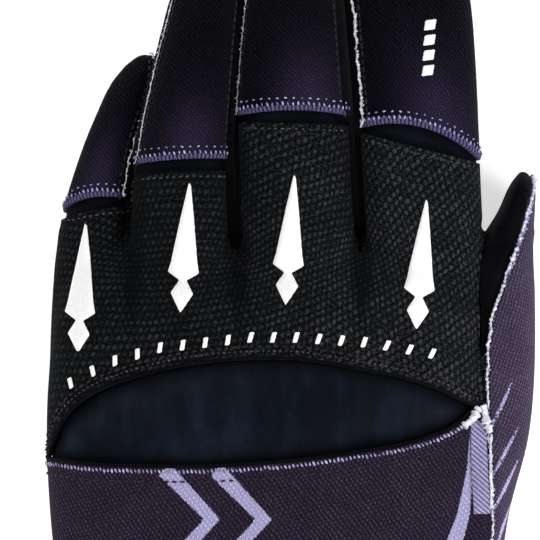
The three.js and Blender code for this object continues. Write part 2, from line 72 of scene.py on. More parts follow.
table_top = plain_mesh("table_top", [(-6000, -6000, -0.4), (6000, -6000, -0.4), (6000, 6000, -0.4),
                                     (-6000, 6000, -0.4)], [(0, 1, 2, 3)])
table_paint, shader = cloth_material("table_paint", (0.85, 0.85, 0.85), 0.9, 0.1)
shader.inputs["Emission Color"].default_value = (1, 1, 1, 1)
shader.inputs["Emission Strength"].default_value = 0.62
table_top.data.materials.append(table_paint)

room = bpy.data.worlds.new("pale_room")
room.use_nodes = True
room.node_tree.nodes["Background"].inputs["Color"].default_value = (0.93, 0.95, 1.0, 1)
room.node_tree.nodes["Background"].inputs["Strength"].default_value = 0.3
scene.world = room


def soft_lamp(name, place, aim, size, watts, colour=(1, 1, 1)):
    lamp = bpy.data.lights.new(name, "AREA")
    lamp.shape = "DISK"
    lamp.size = size
    lamp.energy = watts
    lamp.color = colour
    stand = bpy.data.objects.new(name, lamp)
    stand.location = place
    stand.rotation_mode = "QUATERNION"
    stand.rotation_quaternion = (Vector(aim) - Vector(place)).to_track_quat("-Z", "Y")
    stand.visible_camera = False
    scene.collection.objects.link(stand)


soft_lamp("lamp_left", (-0.9, 0.6, 1.1), (0, 0.03, 0), 0.7, 11)
soft_lamp("lamp_right", (1.2, -0.1, 0.8), (0, 0.03, 0), 0.7, 13, (0.95, 0.95, 1.0))
soft_lamp("lamp_low", (0.3, -1.1, 0.8), (0, 0.0, 0), 0.8, 9)

camera_data = bpy.data.cameras.new("camera")
camera_data.lens = 300
camera_data.sensor_width = 36
camera_data.clip_start, camera_data.clip_end = 0.05, 50
camera = bpy.data.objects.new("camera", camera_data)
camera.location = (0.00047, 0.03384, 0.018 + 0.1269 / 0.12)
scene.collection.objects.link(camera)
scene.camera = camera
scene.view_settings.view_transform = "Standard"


# The form of the glove. All its panels are cut to one surface: a broad flat tube for the hand, one for
# each finger and one for the thumb, melted together and flat where they lie on the table.
# A row holds the place along the glove, the centre across and up, the half width, half height and roll.
FORM = {
    "hand": [(-124, -1.5, 14.9, 42.6, 13.8, 0), (-118, -1.5, 14.8, 42.5, 13.8, 0),
             (-103.8, -1.7, 14, 41.6, 13.2, 0), (-85, -1.8, 12.9, 40.8, 13.6, 1),
             (-63.7, -2, 13.1, 43.6, 14.8, 2), (-42.5, -1.8, 14.2, 47.6, 16.2, 3),
             (-22.4, -1.2, 15.2, 50.4, 17.2, 4), (-2.4, -0.8, 15.9, 51.5, 17.9, 4),
             (16.5, -0.2, 16.2, 51, 17.9, 4), (28.3, 0.3, 15.9, 49.9, 16.2, 4),
             (36.6, 0.3, 15.5, 47.2, 11.1, 4), (41.3, 0.3, 15.3, 44.6, 5.1, 4)],
    "index": [(14, 36.5, 17.7, 14.1, 12, -4), (37.7, 36.5, 17.9, 14.2, 10.5, -4),
              (52.5, 35.7, 17.3, 14.4, 9.8, -4), (66.3, 35.1, 16.7, 14.5, 9.4, -4),
              (84, 34.1, 14.1, 14.8, 8.8, -3), (98.8, 33, 10.9, 14.7, 8, -2),
              (112.6, 31.1, 8, 13.3, 7.5, 0)],
    "middle": [(14, 7.6, 18.5, 13.8, 12.3, 0), (38.7, 7.4, 19.4, 13.7, 11, 1),
               (54.7, 6.6, 19, 13.6, 10.3, 2), (70.8, 6, 18.4, 13.5, 9.9, 2),
               (87.9, 6, 15.6, 12.3, 9, 2), (105, 6.2, 11.6, 10.8, 8.1, 1),
               (121, 6.4, 7.7, 10.3, 7.5, 0)],
    "ring": [(12, -19.5, 17, 13, 12, 8), (33.8, -19.9, 17.7, 12.5, 10.8, 12),
             (48, -20, 17.8, 11.9, 9.9, 15), (60.3, -19.6, 17.8, 11.4, 9.4, 17),
             (76.4, -17.5, 17.2, 10.4, 8.5, 18), (91.6, -15.2, 14.4, 9, 7.8, 16),
             (106.7, -12.8, 10.2, 7.7, 7, 12)],
    "little": [(8, -40.5, 12.2, 10.5, 11, 24), (27.4, -40.6, 11.7, 9.9, 9.5, 29),
               (39.8, -40.2, 10.4, 9.3, 8.8, 33), (50.6, -38.8, 9.2, 8.7, 8.1, 35),
               (63.8, -35.6, 7.9, 7.7, 7.2, 35), (74.7, -31.9, 6.9, 6.9, 6.5, 32),
               (85.5, -28.3, 6.2, 6.1, 5.9, 28)],
    "thumb": [(-66.1, 27, 13.6, 12.9, 12.4, 0), (-40.1, 37.5, 13.6, 15.7, 13.5, 0),
              (-21, 44.1, 13.4, 13.3, 13.5, 0), (-6.2, 49.1, 13.1, 12.2, 13, 0),
              (8, 52, 12.8, 10.8, 12.7, 0), (27.2, 54.1, 12.6, 8.9, 12.4, 0),
              (38.3, 55.6, 12.4, 7, 11.9, 0), (48.2, 58.8, 12.1, 4.2, 11.1, 0),
              (57.4, 60.8, 11.9, 2.7, 9.7, 0)],
}
ROUND_FROM = {"index": 100.8, "middle": 110.3, "ring": 96.3, "little": 74.2, "thumb": 51.2}
FINGERS = ("index", "middle", "ring", "little")
DIGITS = (*FINGERS, "thumb")
SPREAD = {"index": 0.45, "middle": 0, "ring": -0.45, "little": -1.0, "thumb": 0.9, "hand": 0}
SPREAD_FROM = 42.5
GRAIN = 0.9  # size of the form's facets
TIP_TURNS = (12, 25, 38, 50, 62, 73, 82, 87)  # degrees round a fingertip, ring after ring
KNIT_THICK, SUEDE_THICK = 1.1, 1.8
TUCK = 3  # how far the satin reaches under the panels beside it
PATTERN_WIDE = 250  # width of the UV map of a cutting pattern
ABOVE = 60  # higher than any part of the glove
FAR, OFF_STRIP = 99.0, -9  # measures that no seam reaches


def along(rows, y):
    """Every column of a table at the places y, on a smooth line through its rows."""
    rows, y = np.array(rows, float), np.asarray(y, float)
    at = rows[:, 0]
    slope = np.empty_like(rows)
    slope[1:-1] = (rows[2:] - rows[:-2]) / (at[2:] - at[:-2])[:, None]
    slope[0] = (rows[1] - rows[0]) / (at[1] - at[0])
    slope[-1] = (rows[-1] - rows[-2]) / (at[-1] - at[-2])
    i = np.clip(np.searchsorted(at, y) - 1, 0, len(rows) - 2)
    span = (at[i + 1] - at[i])[..., None]
    t = np.clip((y - at[i])[..., None] / span, 0, 1)
    return (rows[i] * (1 + 2 * t) * (1 - t) ** 2 + rows[i + 1] * t * t * (3 - 2 * t)
            + slope[i] * span * t * (1 - t) ** 2 - slope[i + 1] * span * t * t * (1 - t))[..., 1:]


def rounded(v):
    """A sine or cosine for a section that is a little squarer than an ellipse."""
    return np.sign(v) * np.abs(v) ** 0.8


def tube_faces(rings, sides, closed=False):
    """The faces round a tube of rings of points, with two flat ends unless it closes on itself."""
    faces = [(r * sides + j, r * sides + (j + 1) % sides,
              (r + 1) % rings * sides + (j + 1) % sides, (r + 1) % rings * sides + j)
             for r in range(rings if closed else rings - 1) for j in range(sides)]
    if not closed:
        faces += [tuple(range(sides))[::-1], tuple((rings - 1) * sides + j for j in range(sides))]
    return faces


def tube(name, sides=72):
    """Rings of points round one tube of the form, and its faces, with the fingers spread apart."""
    rows = FORM[name]
    last = ROUND_FROM.get(name, rows[-1][0])
    rings = [(y, 1.0) for y in np.arange(rows[0][0], last, 1.2)] + [(last, 1.0)]
    if name in ROUND_FROM:
        reach = rows[-1][0] - last
        rings += [(last + reach * math.sin(a), math.cos(a)) for a in np.radians(TIP_TURNS)]
    turn = np.linspace(0, 2 * math.pi, sides, endpoint=False)
    points = []
    for y, size in rings:
        x, z, wide, high, roll = along(rows, y)
        p, q = wide * size * rounded(np.cos(turn)), high * size * rounded(np.sin(turn))
        c, s = math.cos(math.radians(roll)), math.sin(math.radians(roll))
        x = x + SPREAD[name] * max(0, y - SPREAD_FROM)
        points += [(x + a * c - b * s, y, z + a * s + b * c) for a, b in zip(p, q)]
    return points, tube_faces(len(rings), sides)


def melted_form():
    """The tubes as one skin of small triangles, in millimetres."""
    points, faces = [], []
    for name in FORM:
        more, skin = tube(name)
        faces += [tuple(i + len(points) for i in f) for f in skin]
        points += more
    piece = plain_mesh("form", points, faces)
    piece.modifiers.new("melt", "REMESH").mode = "VOXEL"
    piece.modifiers["melt"].voxel_size = GRAIN * 0.001
    piece.modifiers.new("facets", "TRIANGULATE")
    mesh = piece.evaluated_get(bpy.context.evaluated_depsgraph_get()).to_mesh()
    skin = np.empty(len(mesh.vertices) * 3, np.float32)
    mesh.vertices.foreach_get("co", skin)
    corners = np.empty(len(mesh.polygons) * 3, np.int32)
    mesh.polygons.foreach_get("vertices", corners)
    bpy.data.objects.remove(piece)
    return skin.reshape(-1, 3).astype(float) * 1000, corners.reshape(-1, 3)


def smoothed(values, links, rounds, keep_size=True):
    """Values averaged over neighbouring points, round after round."""
    values = values.astype(float)
    flat = values.ndim == 1
    values = values[:, None] if flat else values
    i, j = np.concatenate([links[:, 0], links[:, 1]]), np.concatenate([links[:, 1], links[:, 0]])
    count = np.maximum(np.bincount(i, minlength=len(values)), 1)[:, None]
    for k in range(rounds):
        for push in ((0.6, -0.62) if keep_size else (0.6,)):
            mean = np.stack([np.bincount(i, c[j], len(values)) for c in values.T], 1) / count
            values = values + push * (mean - values)
    return values[:, 0] if flat else values


def links_of(corners):
    pairs = np.sort(np.concatenate([corners[:, [0, 1]], corners[:, [1, 2]], corners[:, [2, 0]]]), 1)
    return np.unique(pairs, axis=0)


def normals_of(points, corners):
    a, b, c = (points[corners[:, k]] for k in range(3))
    face = np.cross(b - a, c - a)
    out = np.stack([sum(np.bincount(corners[:, k], face[:, m], len(points)) for k in range(3))
                    for m in range(3)], 1)
    return out / (np.linalg.norm(out, axis=1, keepdims=True) + 1e-12)


def about(name, points):
    """Where points lie in a tube's own section: across, up, its half sizes, and how far outside it."""
    x, z, wide, high, roll = along(FORM[name], points[:, 1]).T
    c, s = np.cos(np.radians(roll)), np.sin(np.radians(roll))
    p = (points[:, 0] - x) * c + (points[:, 2] - z) * s
    q = (points[:, 2] - z) * c - (points[:, 0] - x) * s
    outside = ((np.abs(p / wide) ** 2.5 + np.abs(q / high) ** 2.5) ** 0.4 - 1) * np.minimum(wide, high)
    return SimpleNamespace(p=p, q=q, wide=wide, high=high, outside=outside)


spread_points, FACETS = melted_form()
LINKS = links_of(FACETS)
beyond = np.maximum(0, spread_points[:, 1] - SPREAD_FROM)
pull, total = np.zeros(len(spread_points)), np.zeros(len(spread_points))
for digit in DIGITS:
    shifted = spread_points - np.stack([SPREAD[digit] * beyond, beyond * 0, beyond * 0], 1)
    near = np.exp(-np.clip(about(digit, shifted).outside, 0, 40) * 1.5) + 1e-12
    pull, total = pull + near * SPREAD[digit], total + near
SKIN = spread_points.copy()
SKIN[:, 0] -= pull / total * beyond
SKIN[:, 2] = np.maximum(SKIN[:, 2], 0)
SKIN = smoothed(SKIN, LINKS, 14)
SKIN[:, 2] = np.maximum(SKIN[:, 2], 0)
OUT = normals_of(SKIN, FACETS)


# The seams. The back of the glove meets the palm along its sides, and strips run between the fingers.
# Every seam is a measure over the form, in millimetres: above nought on the side that a panel keeps.
BACK_OF_FINGER = {"index": (-8, 152), "middle": (28, 168), "ring": (8, 147), "little": (21, 188)}
WRAP = 24  # degrees that the palm side drops below the hems, where the gussets are
# Places across the glove, with the upper and the lower edge of the insert at each.
LENS = [(-54.6, -10.3, -10.6), (-51.8, -9.8, -10.7), (-50.6, -6, -10.8), (-48.6, -1.9, -10.9),
        (-45.4, 2, -11.3), (-39.4, 6.1, -11.7), (-27.7, 10.2, -11.9), (-16, 12.5, -11.9), (-4.2, 13.5, -11.3),
        (7.5, 13.4, -10.3), (19.3, 11.5, -8.7), (31, 9.2, -6.8), (40.4, 6.1, -4), (46, 3.3, -0.8),
        (48.9, 2.3, 2), (55.6, 2, 1.8)]
THUMB_SEAM = [(-63.6, 41.2), (-46.3, 48.6), (-29, 52), (-10.5, 51.5), (8, 50.9), (21.6, 51.7), (30.2, 54.5),
              (41.4, 58.5), (48.8, 60.8), (53.7, 62.1)]
# A seam across a finger: its place at the left side and the right, and its bow between them.
TONGUE = {"index": (67.3, 57.8, -0.5), "middle": (68.4, 67.5, 0), "ring": (55.6, 56.9, 0.5),
          "little": (44.4, 49.1, 0.5)}
HEM = {"index": (65.3, 55.8, 6.8), "middle": (69.2, 69.2, 2), "ring": (58, 59.8, 0.8),
       "little": (45.4, 50.3, 3)}
WRIST_AT, STRIPS_FROM, THUMB_FRONT_FROM = -87, 14, 14.2
SLIT = 0.12  # half of the seam that shows between two panels
X, Y, Z = SKIN.T
AT = {name: about(name, SKIN) for name in FORM}


def past(at, degrees):
    """How far points lie past a line that runs along a tube at an angle round it."""
    a = math.radians(degrees)
    x, z = at.wide * rounded(np.cos(a)), at.high * rounded(np.sin(a))
    return (x * at.q - z * at.p) / np.hypot(x, z)


def over_finger(name, seam):
    """The place along the glove of a seam that crosses a finger."""
    left, right, bow = seam[name]
    u = np.clip(AT[name].p / (2.6 * AT[name].wide) + 0.5, 0, 1)
    return left + (right - left) * u + bow * 4 * u * (1 - u)


finger_at = np.argmin([AT[f].outside for f in FINGERS], axis=0)
pick = lambda per_finger: np.choose(finger_at, [per_finger[f] for f in FINGERS])
HEM_AT, TONGUE_AT = (pick({f: over_finger(f, s) for f in FINGERS}) for s in (HEM, TONGUE))
UPPER, LOWER = (along(LENS, X)[:, k] for k in (0, 1))
on_back = {}
for f, (start, to) in BACK_OF_FINGER.items():
    upper = np.minimum(past(AT[f], start), -past(AT[f], to))
    low_start, low_to = min(start, max(start - WRAP, 5)), max(to, min(to + WRAP, 175))
    lower = np.minimum(past(AT[f], low_start), -past(AT[f], low_to))
    on_back[f] = lower + (upper - lower) * np.clip((Y - HEM_AT) / 1.5 + 0.5, 0, 1)
hand = AT["hand"]
hand_back = np.where(hand.p > 0, past(hand, -8), -past(hand, 188)) - 1.3 * np.maximum(0, Y - 30)
BACK = np.where(Y < 44, np.maximum(hand_back, pick(on_back) - 3 * np.maximum(0, 20 - Y)), pick(on_back))
BACK = smoothed(BACK, LINKS, 3, False)
THUMB_SIDE = np.minimum(X - along(THUMB_SEAM, Y)[:, 0], Y + 64)
others = np.minimum(np.min([AT[f].outside for f in FINGERS], axis=0), np.where(Y < 42, hand.outside, FAR))
ON_THUMB = smoothed(np.clip(others - AT["thumb"].outside, -4, 4), LINKS, 4, False)
CROTCH, GROOVE = np.full(len(SKIN), -FAR), np.full(len(SKIN), FAR)
for right, left in zip(FINGERS, FINGERS[1:]):
    edge_r, edge_l = along(FORM[right], Y), along(FORM[left], Y)
    middle = (edge_r[:, 0] - edge_r[:, 2] + edge_l[:, 0] + edge_l[:, 2]) / 2
    half = np.interp(Y, (14, 24, 32, 40, 47), (-2, -0.8, 0.1, 0.8, 1.5))
    CROTCH = np.maximum(CROTCH, half - np.abs(X - middle))
    GROOVE = np.minimum(GROOVE, np.abs(X - middle) + 0.3 * np.maximum(0, 28 - Y))
on_fingers = np.max([np.minimum(on_back[f], 0.6 - AT[f].outside) for f in FINGERS], axis=0)
CROTCH = smoothed(np.minimum(np.minimum(CROTCH, -on_fingers), Z - 9.5), LINKS, 2, False)


SKIN_TREE = BVHTree.FromPolygons(SKIN.tolist(), FACETS.tolist())


def unit(ways):
    return ways / np.linalg.norm(ways, axis=1, keepdims=True)


def found(hits):
    """The places of some hits on the form, and the smooth outward direction at each."""
    place, out = np.empty((len(hits), 3)), np.empty((len(hits), 3))
    for i, (hit, _, face, _) in enumerate(hits):
        tri = FACETS[face]
        near = 1 / (np.linalg.norm(SKIN[tri] - np.array(hit), axis=1) + 0.05)
        out[i] = (OUT[tri] * near[:, None]).sum(0)
        place[i] = hit
    return place, unit(out)


def on_skin(points, lift=0.0):
    """The nearest points of the form, lifted off it, and the outward direction at each."""
    place, out = found([SKIN_TREE.find_nearest(Vector(point)) for point in points])
    return place + out * lift, out


def from_above(points):
    """The same for the points of the form that are seen from above at places in plan."""
    return found([SKIN_TREE.ray_cast(Vector((x, y, ABOVE)), Vector((0, 0, -1))) for x, y in points])


def trimmed(points, out, corners, keeps):
    """The part of a sheet where every measure is above nought, with its edge cut clean."""
    data = np.concatenate([points, out, np.stack(keeps, 1)], 1)
    for k in range(len(keeps)):
        data[:, 6 + k][np.abs(data[:, 6 + k]) < 0.06] = 0
        side = np.sign(data[:, 6 + k])[corners]
        whole = corners[(side >= 0).all(1) & (side > 0).any(1)]
        new, made, faces = {}, [], []
        for tri in corners[(side > 0).any(1) & (side < 0).any(1)]:
            ring = []
            for a, b in ((tri[0], tri[1]), (tri[1], tri[2]), (tri[2], tri[0])):
                if data[a, 6 + k] >= 0:
                    ring.append(a)
                if data[a, 6 + k] * data[b, 6 + k] < 0:
                    pair = (a, b) if a < b else (b, a)
                    if pair not in new:
                        low, high = data[pair[0]], data[pair[1]]
                        cut = low + (high - low) * low[6 + k] / (low[6 + k] - high[6 + k])
                        cut[6 + k] = 0
                        new[pair] = len(data) + len(made)
                        made.append(cut)
                    ring.append(new[pair])
            faces += [(ring[0], ring[i], ring[i + 1]) for i in range(1, len(ring) - 1)]
        data = np.concatenate([data, made]) if made else data
        corners = np.concatenate([whole, np.array(faces, int)]) if faces else whole
        used, corners = np.unique(corners, return_inverse=True)
        data, corners = data[used], corners.reshape(-1, 3)
    return SimpleNamespace(points=data[:, :3], out=unit(data[:, 3:6]), corners=corners, keeps=data[:, 6:].T)


def cut_out(*keeps):
    """A panel cut from the form."""
    corners = FACETS
    for keep in keeps:
        corners = corners[(keep[corners] > 0).any(1)]
    used, corners = np.unique(corners, return_inverse=True)
    return trimmed(SKIN[used], OUT[used], corners.reshape(-1, 3), [k[used] for k in keeps])


def edge_of(sheet):
    """The directed edges that only one face of a sheet has."""
    c = sheet.corners
    edges = np.concatenate([c[:, [0, 1]], c[:, [1, 2]], c[:, [2, 0]]])
    n = len(sheet.points)
    alone = ~np.isin(edges[:, 0] * n + edges[:, 1], edges[:, 1] * n + edges[:, 0])
    return edges[alone]


def distance_to(points, marks):
    """How far points are from the nearest of some marks."""
    tree = KDTree(len(marks))
    for i, mark in enumerate(marks):
        tree.insert(mark, i)
    tree.balance()
    return np.array([tree.find(point)[2] for point in points])


def flattened(sheet):
    """The sheet laid flat like its cutting pattern, in millimetres, nearly in line with the glove."""
    piece = plain_mesh("pattern", sheet.points, sheet.corners)
    bpy.context.view_layer.objects.active = piece
    piece.select_set(True)
    bpy.ops.object.mode_set(mode="EDIT")
    bpy.ops.mesh.select_all(action="SELECT")
    bpy.ops.uv.unwrap(method="ANGLE_BASED", margin=0)
    bpy.ops.object.mode_set(mode="OBJECT")
    flat = np.empty(len(piece.data.loops) * 2, np.float32)
    piece.data.uv_layers[0].data.foreach_get("uv", flat)
    place = np.zeros((len(sheet.points), 2))
    place[sheet.corners.ravel()] = flat.reshape(-1, 2)
    bpy.data.objects.remove(piece)
    level = np.clip(sheet.out[:, 2], 0, 1)[:, None] ** 4 + 1e-6
    centre = (sheet.points[:, :2] * level).sum(0) / level.sum()
    place = place - (place * level).sum(0) / level.sum()
    u, size, v = np.linalg.svd((place * level).T @ (sheet.points[:, :2] - centre))
    return place @ (u @ v) * size.sum() / (place ** 2 * level).sum() + centre


def sewn(name, sheet, thick, lift=0.0, sink=0.45, near=1.1, seams=None, place=None, marks=None, rise=0.0):
    """A panel with both its faces and a rolled rim, sunk a little where it is sewn."""
    points, out, n = sheet.points, sheet.out, len(sheet.points)
    rim = edge_of(sheet)
    ring = np.unique(rim)
    edge = distance_to(points, points[ring])
    held = ring if seams is None else ring[(sheet.keeps[list(seams)][:, ring] == 0).any(0)]
    gap = distance_to(points, points[held]) if len(held) else edge + FAR
    rise = lift + rise - sink * np.exp(-(gap / near) ** 2)
    top, under = points + out * np.reshape(rise, (-1, 1)), points + out * (lift - thick)
    off = np.zeros((n, 3))
    run = np.cross(points[rim[:, 1]] - points[rim[:, 0]], out[rim[:, 0]])
    for k in (0, 1):
        np.add.at(off, rim[:, k], run)
    off = off[ring] / (np.linalg.norm(off[ring], axis=1, keepdims=True) + 1e-9)
    all_points = np.concatenate([top, under, (top[ring] + under[ring]) / 2 + off * 0.1])
    all_points[:n, 2] = np.maximum(all_points[:n, 2], 0)
    turn = np.zeros(n, int)
    turn[ring] = 2 * n + np.arange(len(ring))
    a, b = rim.T
    faces = [*sheet.corners.tolist(), *(sheet.corners[:, ::-1] + n).tolist(),
             *np.stack([b, a, turn[a], turn[b]], 1).tolist(),
             *np.stack([turn[b], turn[a], a + n, b + n], 1).tolist()]
    which = np.concatenate([np.arange(n), np.arange(n), ring])
    place = points[:, :2] if place is None else place
    return cloth_mesh(name, all_points, faces, place[which],
                      {"from_edge": edge[which], **{k: v[which] for k, v in (marks or {}).items()}})


def cloth_mesh(name, points, faces, place, marks):
    """A smooth mesh with its cutting pattern as a UV map, and values at its points."""
    piece = plain_mesh(name, points, faces)
    mesh = piece.data
    mesh.polygons.foreach_set("use_smooth", [True] * len(mesh.polygons))
    loops = np.empty(len(mesh.loops), np.int32)
    mesh.loops.foreach_get("vertex_index", loops)
    mesh.uv_layers.new(name="pattern").data.foreach_set(
        "uv", (place[loops] / PATTERN_WIDE + 0.5).astype(np.float32).ravel())
    for key, values in marks.items():
        mesh.attributes.new(key, "FLOAT", "POINT").data.foreach_set("value", values.astype(np.float32))
    return piece


def dress(piece, material, slot, *nodes, cut=None):
    """The piece rides on the glove, takes its finish from the material and stands for its solids. Its slot is
    not used.
    Cut, the width, length and area of its flat pattern in millimetres, is not used."""
    piece.data.materials.clear()
    piece.data.materials.append(material)
    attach(piece, "root")
    if nodes:
        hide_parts(*nodes)
    return piece


def between(finger, start, to):
    """How far points of a finger lie between two angles round it."""
    spot = np.minimum(past(AT[finger], start), -past(AT[finger], to))
    return np.where(finger_at == FINGERS.index(finger), spot, OFF_STRIP)


THUMB_FRONT = np.minimum(ON_THUMB, Y - THUMB_FRONT_FROM)
BODY = -np.maximum(THUMB_SIDE, THUMB_FRONT)
OWN = {f: np.where(finger_at == FINGERS.index(f), np.minimum(on_back[f] - SLIT, Y - 30), -3)
       for f in FINGERS}
WRIST = Y - WRIST_AT
STRIP_TURN = 54  # degrees from the edge of a finger's back down to its strip's other edge
STRIP = {}
for right, left in zip(FINGERS, FINGERS[1:]):
    to, start = BACK_OF_FINGER[right][1], BACK_OF_FINGER[left][0]
    sides = np.maximum(between(right, to, to + STRIP_TURN), between(left, start - STRIP_TURN, start))
    xr, xl = along(FORM[right], Y)[:, 0], along(FORM[left], Y)[:, 0]
    crotch = np.where(np.abs(X - (xr + xl) / 2) < 12, CROTCH, OFF_STRIP)
    strip = np.maximum(np.minimum(sides, -BACK), crotch)
    STRIP[right, left] = smoothed(np.minimum(strip, Y - STRIPS_FROM), LINKS, 2, False)
ANY_STRIP = np.max(list(STRIP.values()), axis=0)


# The stretch insert behind the knuckles and the gusset under the hem of each finger. They are a thin,
# dark satin jersey, sewn under the edges of the panels round them, a little slack and softly lit. Their
# colour holds painted shade towards every edge, under the panels over them, so the narrow gussets stay
# nearly black, and slow streaks of painted sheen lie across the insert.
def add(tree, kind, *inputs, **settings):
    """A node with its settings and its first inputs, as numbers or as other nodes' sockets."""
    made = tree.nodes.new(kind)
    for key, value in settings.items():
        setattr(made, key, value)
    for socket, value in zip(made.inputs, inputs):
        if isinstance(value, bpy.types.NodeSocket):
            tree.links.new(value, socket)
        elif value is not None:
            socket.default_value = value
    return made


def blend(tree, share, first, second, how="MIX"):
    return add(tree, "ShaderNodeMix", share, None, None, None, None, None, first, second,
               data_type="RGBA", blend_type=how).outputs[2]


def maths(tree, how, *inputs, clamp=False):
    return add(tree, "ShaderNodeMath", *inputs, operation=how, use_clamp=clamp).outputs[0]


def times(tree, first, second, clamp=False):
    return maths(tree, "MULTIPLY", first, second, clamp=clamp)


def plus(tree, first, second, clamp=False):
    return maths(tree, "ADD", first, second, clamp=clamp)


def ramp(tree, value, low, high, to_low=0.0, to_high=1.0, smooth=True):
    return add(tree, "ShaderNodeMapRange", value, low, high, to_low, to_high,
               interpolation_type="SMOOTHSTEP" if smooth else "LINEAR").outputs[0]


def tint(red, green, blue):
    """A colour as it looks on a screen, 0 to 255, turned into linear light."""
    return (*[c / 255 / 12.92 if c < 11 else ((c / 255 + 0.055) / 1.055) ** 2.4
              for c in (red, green, blue)], 1)


def new_group(name, inputs, outputs):
    group = bpy.data.node_groups.new(name, "ShaderNodeTree")
    for label, kind, value in inputs:
        socket = group.interface.new_socket(label, in_out="INPUT", socket_type="NodeSocket" + kind)
        if value is not None:
            socket.default_value = value
    for label in outputs:
        group.interface.new_socket(label, in_out="OUTPUT", socket_type="NodeSocketFloat")
    return group, group.nodes.new("NodeGroupInput").outputs, group.nodes.new("NodeGroupOutput").inputs


def use_group(tree, group, **values):
    made = tree.nodes.new("ShaderNodeGroup")
    made.node_tree = group
    for label, value in values.items():
        socket = made.inputs[label.replace("_", " ")]
        if isinstance(value, bpy.types.NodeSocket):
            tree.links.new(value, socket)
        else:
            socket.default_value = value
    return made.outputs


# Slow changes of tone over a cloth, as from handling, and its fine fuzz.
cloth_tone, given, result = new_group("cloth_tone", [("Place", "Vector", None), ("Patch", "Float", 14.0),
                                                     ("Fuzz Size", "Float", 0.5)], ["Tone", "Fuzz"])
wide_noise = add(cloth_tone, "ShaderNodeTexNoise", given["Place"], None,
                 maths(cloth_tone, "DIVIDE", 1.0, given["Patch"]), 3.0, 0.6)
fine_noise = add(cloth_tone, "ShaderNodeTexNoise", given["Place"], None,
                 maths(cloth_tone, "DIVIDE", 1.0, given["Fuzz Size"]), 2.0, 0.7)
cloth_tone.links.new(ramp(cloth_tone, wide_noise.outputs[0], 0.3, 0.7), result["Tone"])
cloth_tone.links.new(ramp(cloth_tone, fine_noise.outputs[0], 0.25, 0.75), result["Fuzz"])


def pattern_place(tree):
    """Millimetres over a piece's cutting pattern."""
    flat = add(tree, "ShaderNodeUVMap", uv_map="pattern").outputs[0]
    return add(tree, "ShaderNodeVectorMath", flat, (PATTERN_WIDE, PATTERN_WIDE, 0),
               (-PATTERN_WIDE / 2, -PATTERN_WIDE / 2, 0), operation="MULTIPLY_ADD").outputs[0]


def body_place(tree):
    """Millimetres in the glove's own frame."""
    return add(tree, "ShaderNodeVectorMath", add(tree, "ShaderNodeTexCoord").outputs["Object"],
               (1000, 1000, 1000), operation="MULTIPLY").outputs[0]


def mark(tree, key):
    return add(tree, "ShaderNodeAttribute", attribute_name=key).outputs["Fac"]


def tones(tree, place, patch, fuzz_size):
    return use_group(tree, cloth_tone, Place=place, Patch=patch, Fuzz_Size=fuzz_size)


def bump(tree, height, distance, shader, strength=1.0):
    """Relief on a shader, with its height in millimetres."""
    relief = add(tree, "ShaderNodeBump", strength, distance * 0.001)
    tree.links.new(height, relief.inputs["Height"])
    tree.links.new(relief.outputs[0], shader.inputs["Normal"])


satin, shader = cloth_material("satin_stretch", (0.006, 0.009, 0.016), 0.5, 0.07)
tree = satin.node_tree
place = body_place(tree)
tone, fuzz = tones(tree, place, 22.0, 0.35)
# Painted shade: the colour darkens towards every edge, where the panels over the satin shade it.
depth = ramp(tree, mark(tree, "from_edge"), 2.2, 9.0)
drawn = add(tree, "ShaderNodeVectorMath", place, (0.11, 0.045, 0.05), operation="MULTIPLY").outputs[0]
# Painted sheen: slow, drawn-out noise lightens the colour in streaks, like soft reflections on satin folds.
painted_lustre = add(tree, "ShaderNodeTexNoise", drawn, None, 1.0, 4.0, 0.62).outputs[0]
painted_lustre = times(tree, ramp(tree, painted_lustre, 0.38, 0.66, 0.25, 1.0), ramp(tree, fuzz, 0, 1, 0.8, 1.1))
shade = times(tree, times(tree, ramp(tree, tone, 0, 1, 0.6, 1.0), painted_lustre), depth)
tree.links.new(blend(tree, shade, tint(1, 2, 5), tint(20, 30, 45)), shader.inputs["Base Color"])
tree.links.new(ramp(tree, depth, 0, 1, 0.9, 0.48), shader.inputs["Roughness"])
threads = add(tree, "ShaderNodeTexWave", place, 0.9, 0.6, 1.0, wave_type="BANDS", bands_direction="X")
bump(tree, plus(tree, times(tree, threads.outputs["Fac"], 0.35), fuzz), 0.06, shader, 0.5)


def dent(points, x, y, reach, depth, squash=1.0):
    """A soft hollow, or a swelling where depth is below nought."""
    return -depth * np.exp(-((points[:, 0] - x) ** 2 + ((points[:, 1] - y) * squash) ** 2) / reach ** 2)


HOLLOWS = [(24, -4, 6, 0.7), (6, 3, 16, -0.35, 1.6), (-44, -4, 4, -0.3), (-30, -3, 7, 0.3)]
sheet = cut_out(BACK - SLIT, Y - LOWER + TUCK, UPPER + TUCK - Y, BODY - SLIT)
p = sheet.points
inside = np.minimum(sheet.keeps[1], sheet.keeps[2]) - TUCK
slack = 0.9 * np.clip(inside / 7, 0, 1) ** 0.7 + sum(dent(p, *hollow) for hollow in HOLLOWS)
slack = slack + 0.12 * np.sin(p[:, 0] * 0.35 + p[:, 1] * 0.5)
dress(sewn("stretch_insert_satin", sheet, KNIT_THICK, lift=-1.4, sink=0.2, rise=slack),
      satin, "satin_stretch", "stretch_insert", cut=(103.2, 31.6, 2700))
GUSSET_CUT = {"index": (28.9, 15.5, 350), "middle": (28, 10.5, 282), "ring": (24, 11, 248),
              "little": (20, 12.5, 230)}
for f in FINGERS:
    sheet = cut_out(OWN[f], Y - TONGUE_AT + TUCK, HEM_AT + TUCK - Y, -ANY_STRIP - SLIT, BODY - SLIT)
    dress(sewn("finger_gusset_" + f, sheet, KNIT_THICK, lift=-0.9, sink=0.2),
          satin, "satin_stretch", "finger_flex_" + f, cut=GUSSET_CUT[f])


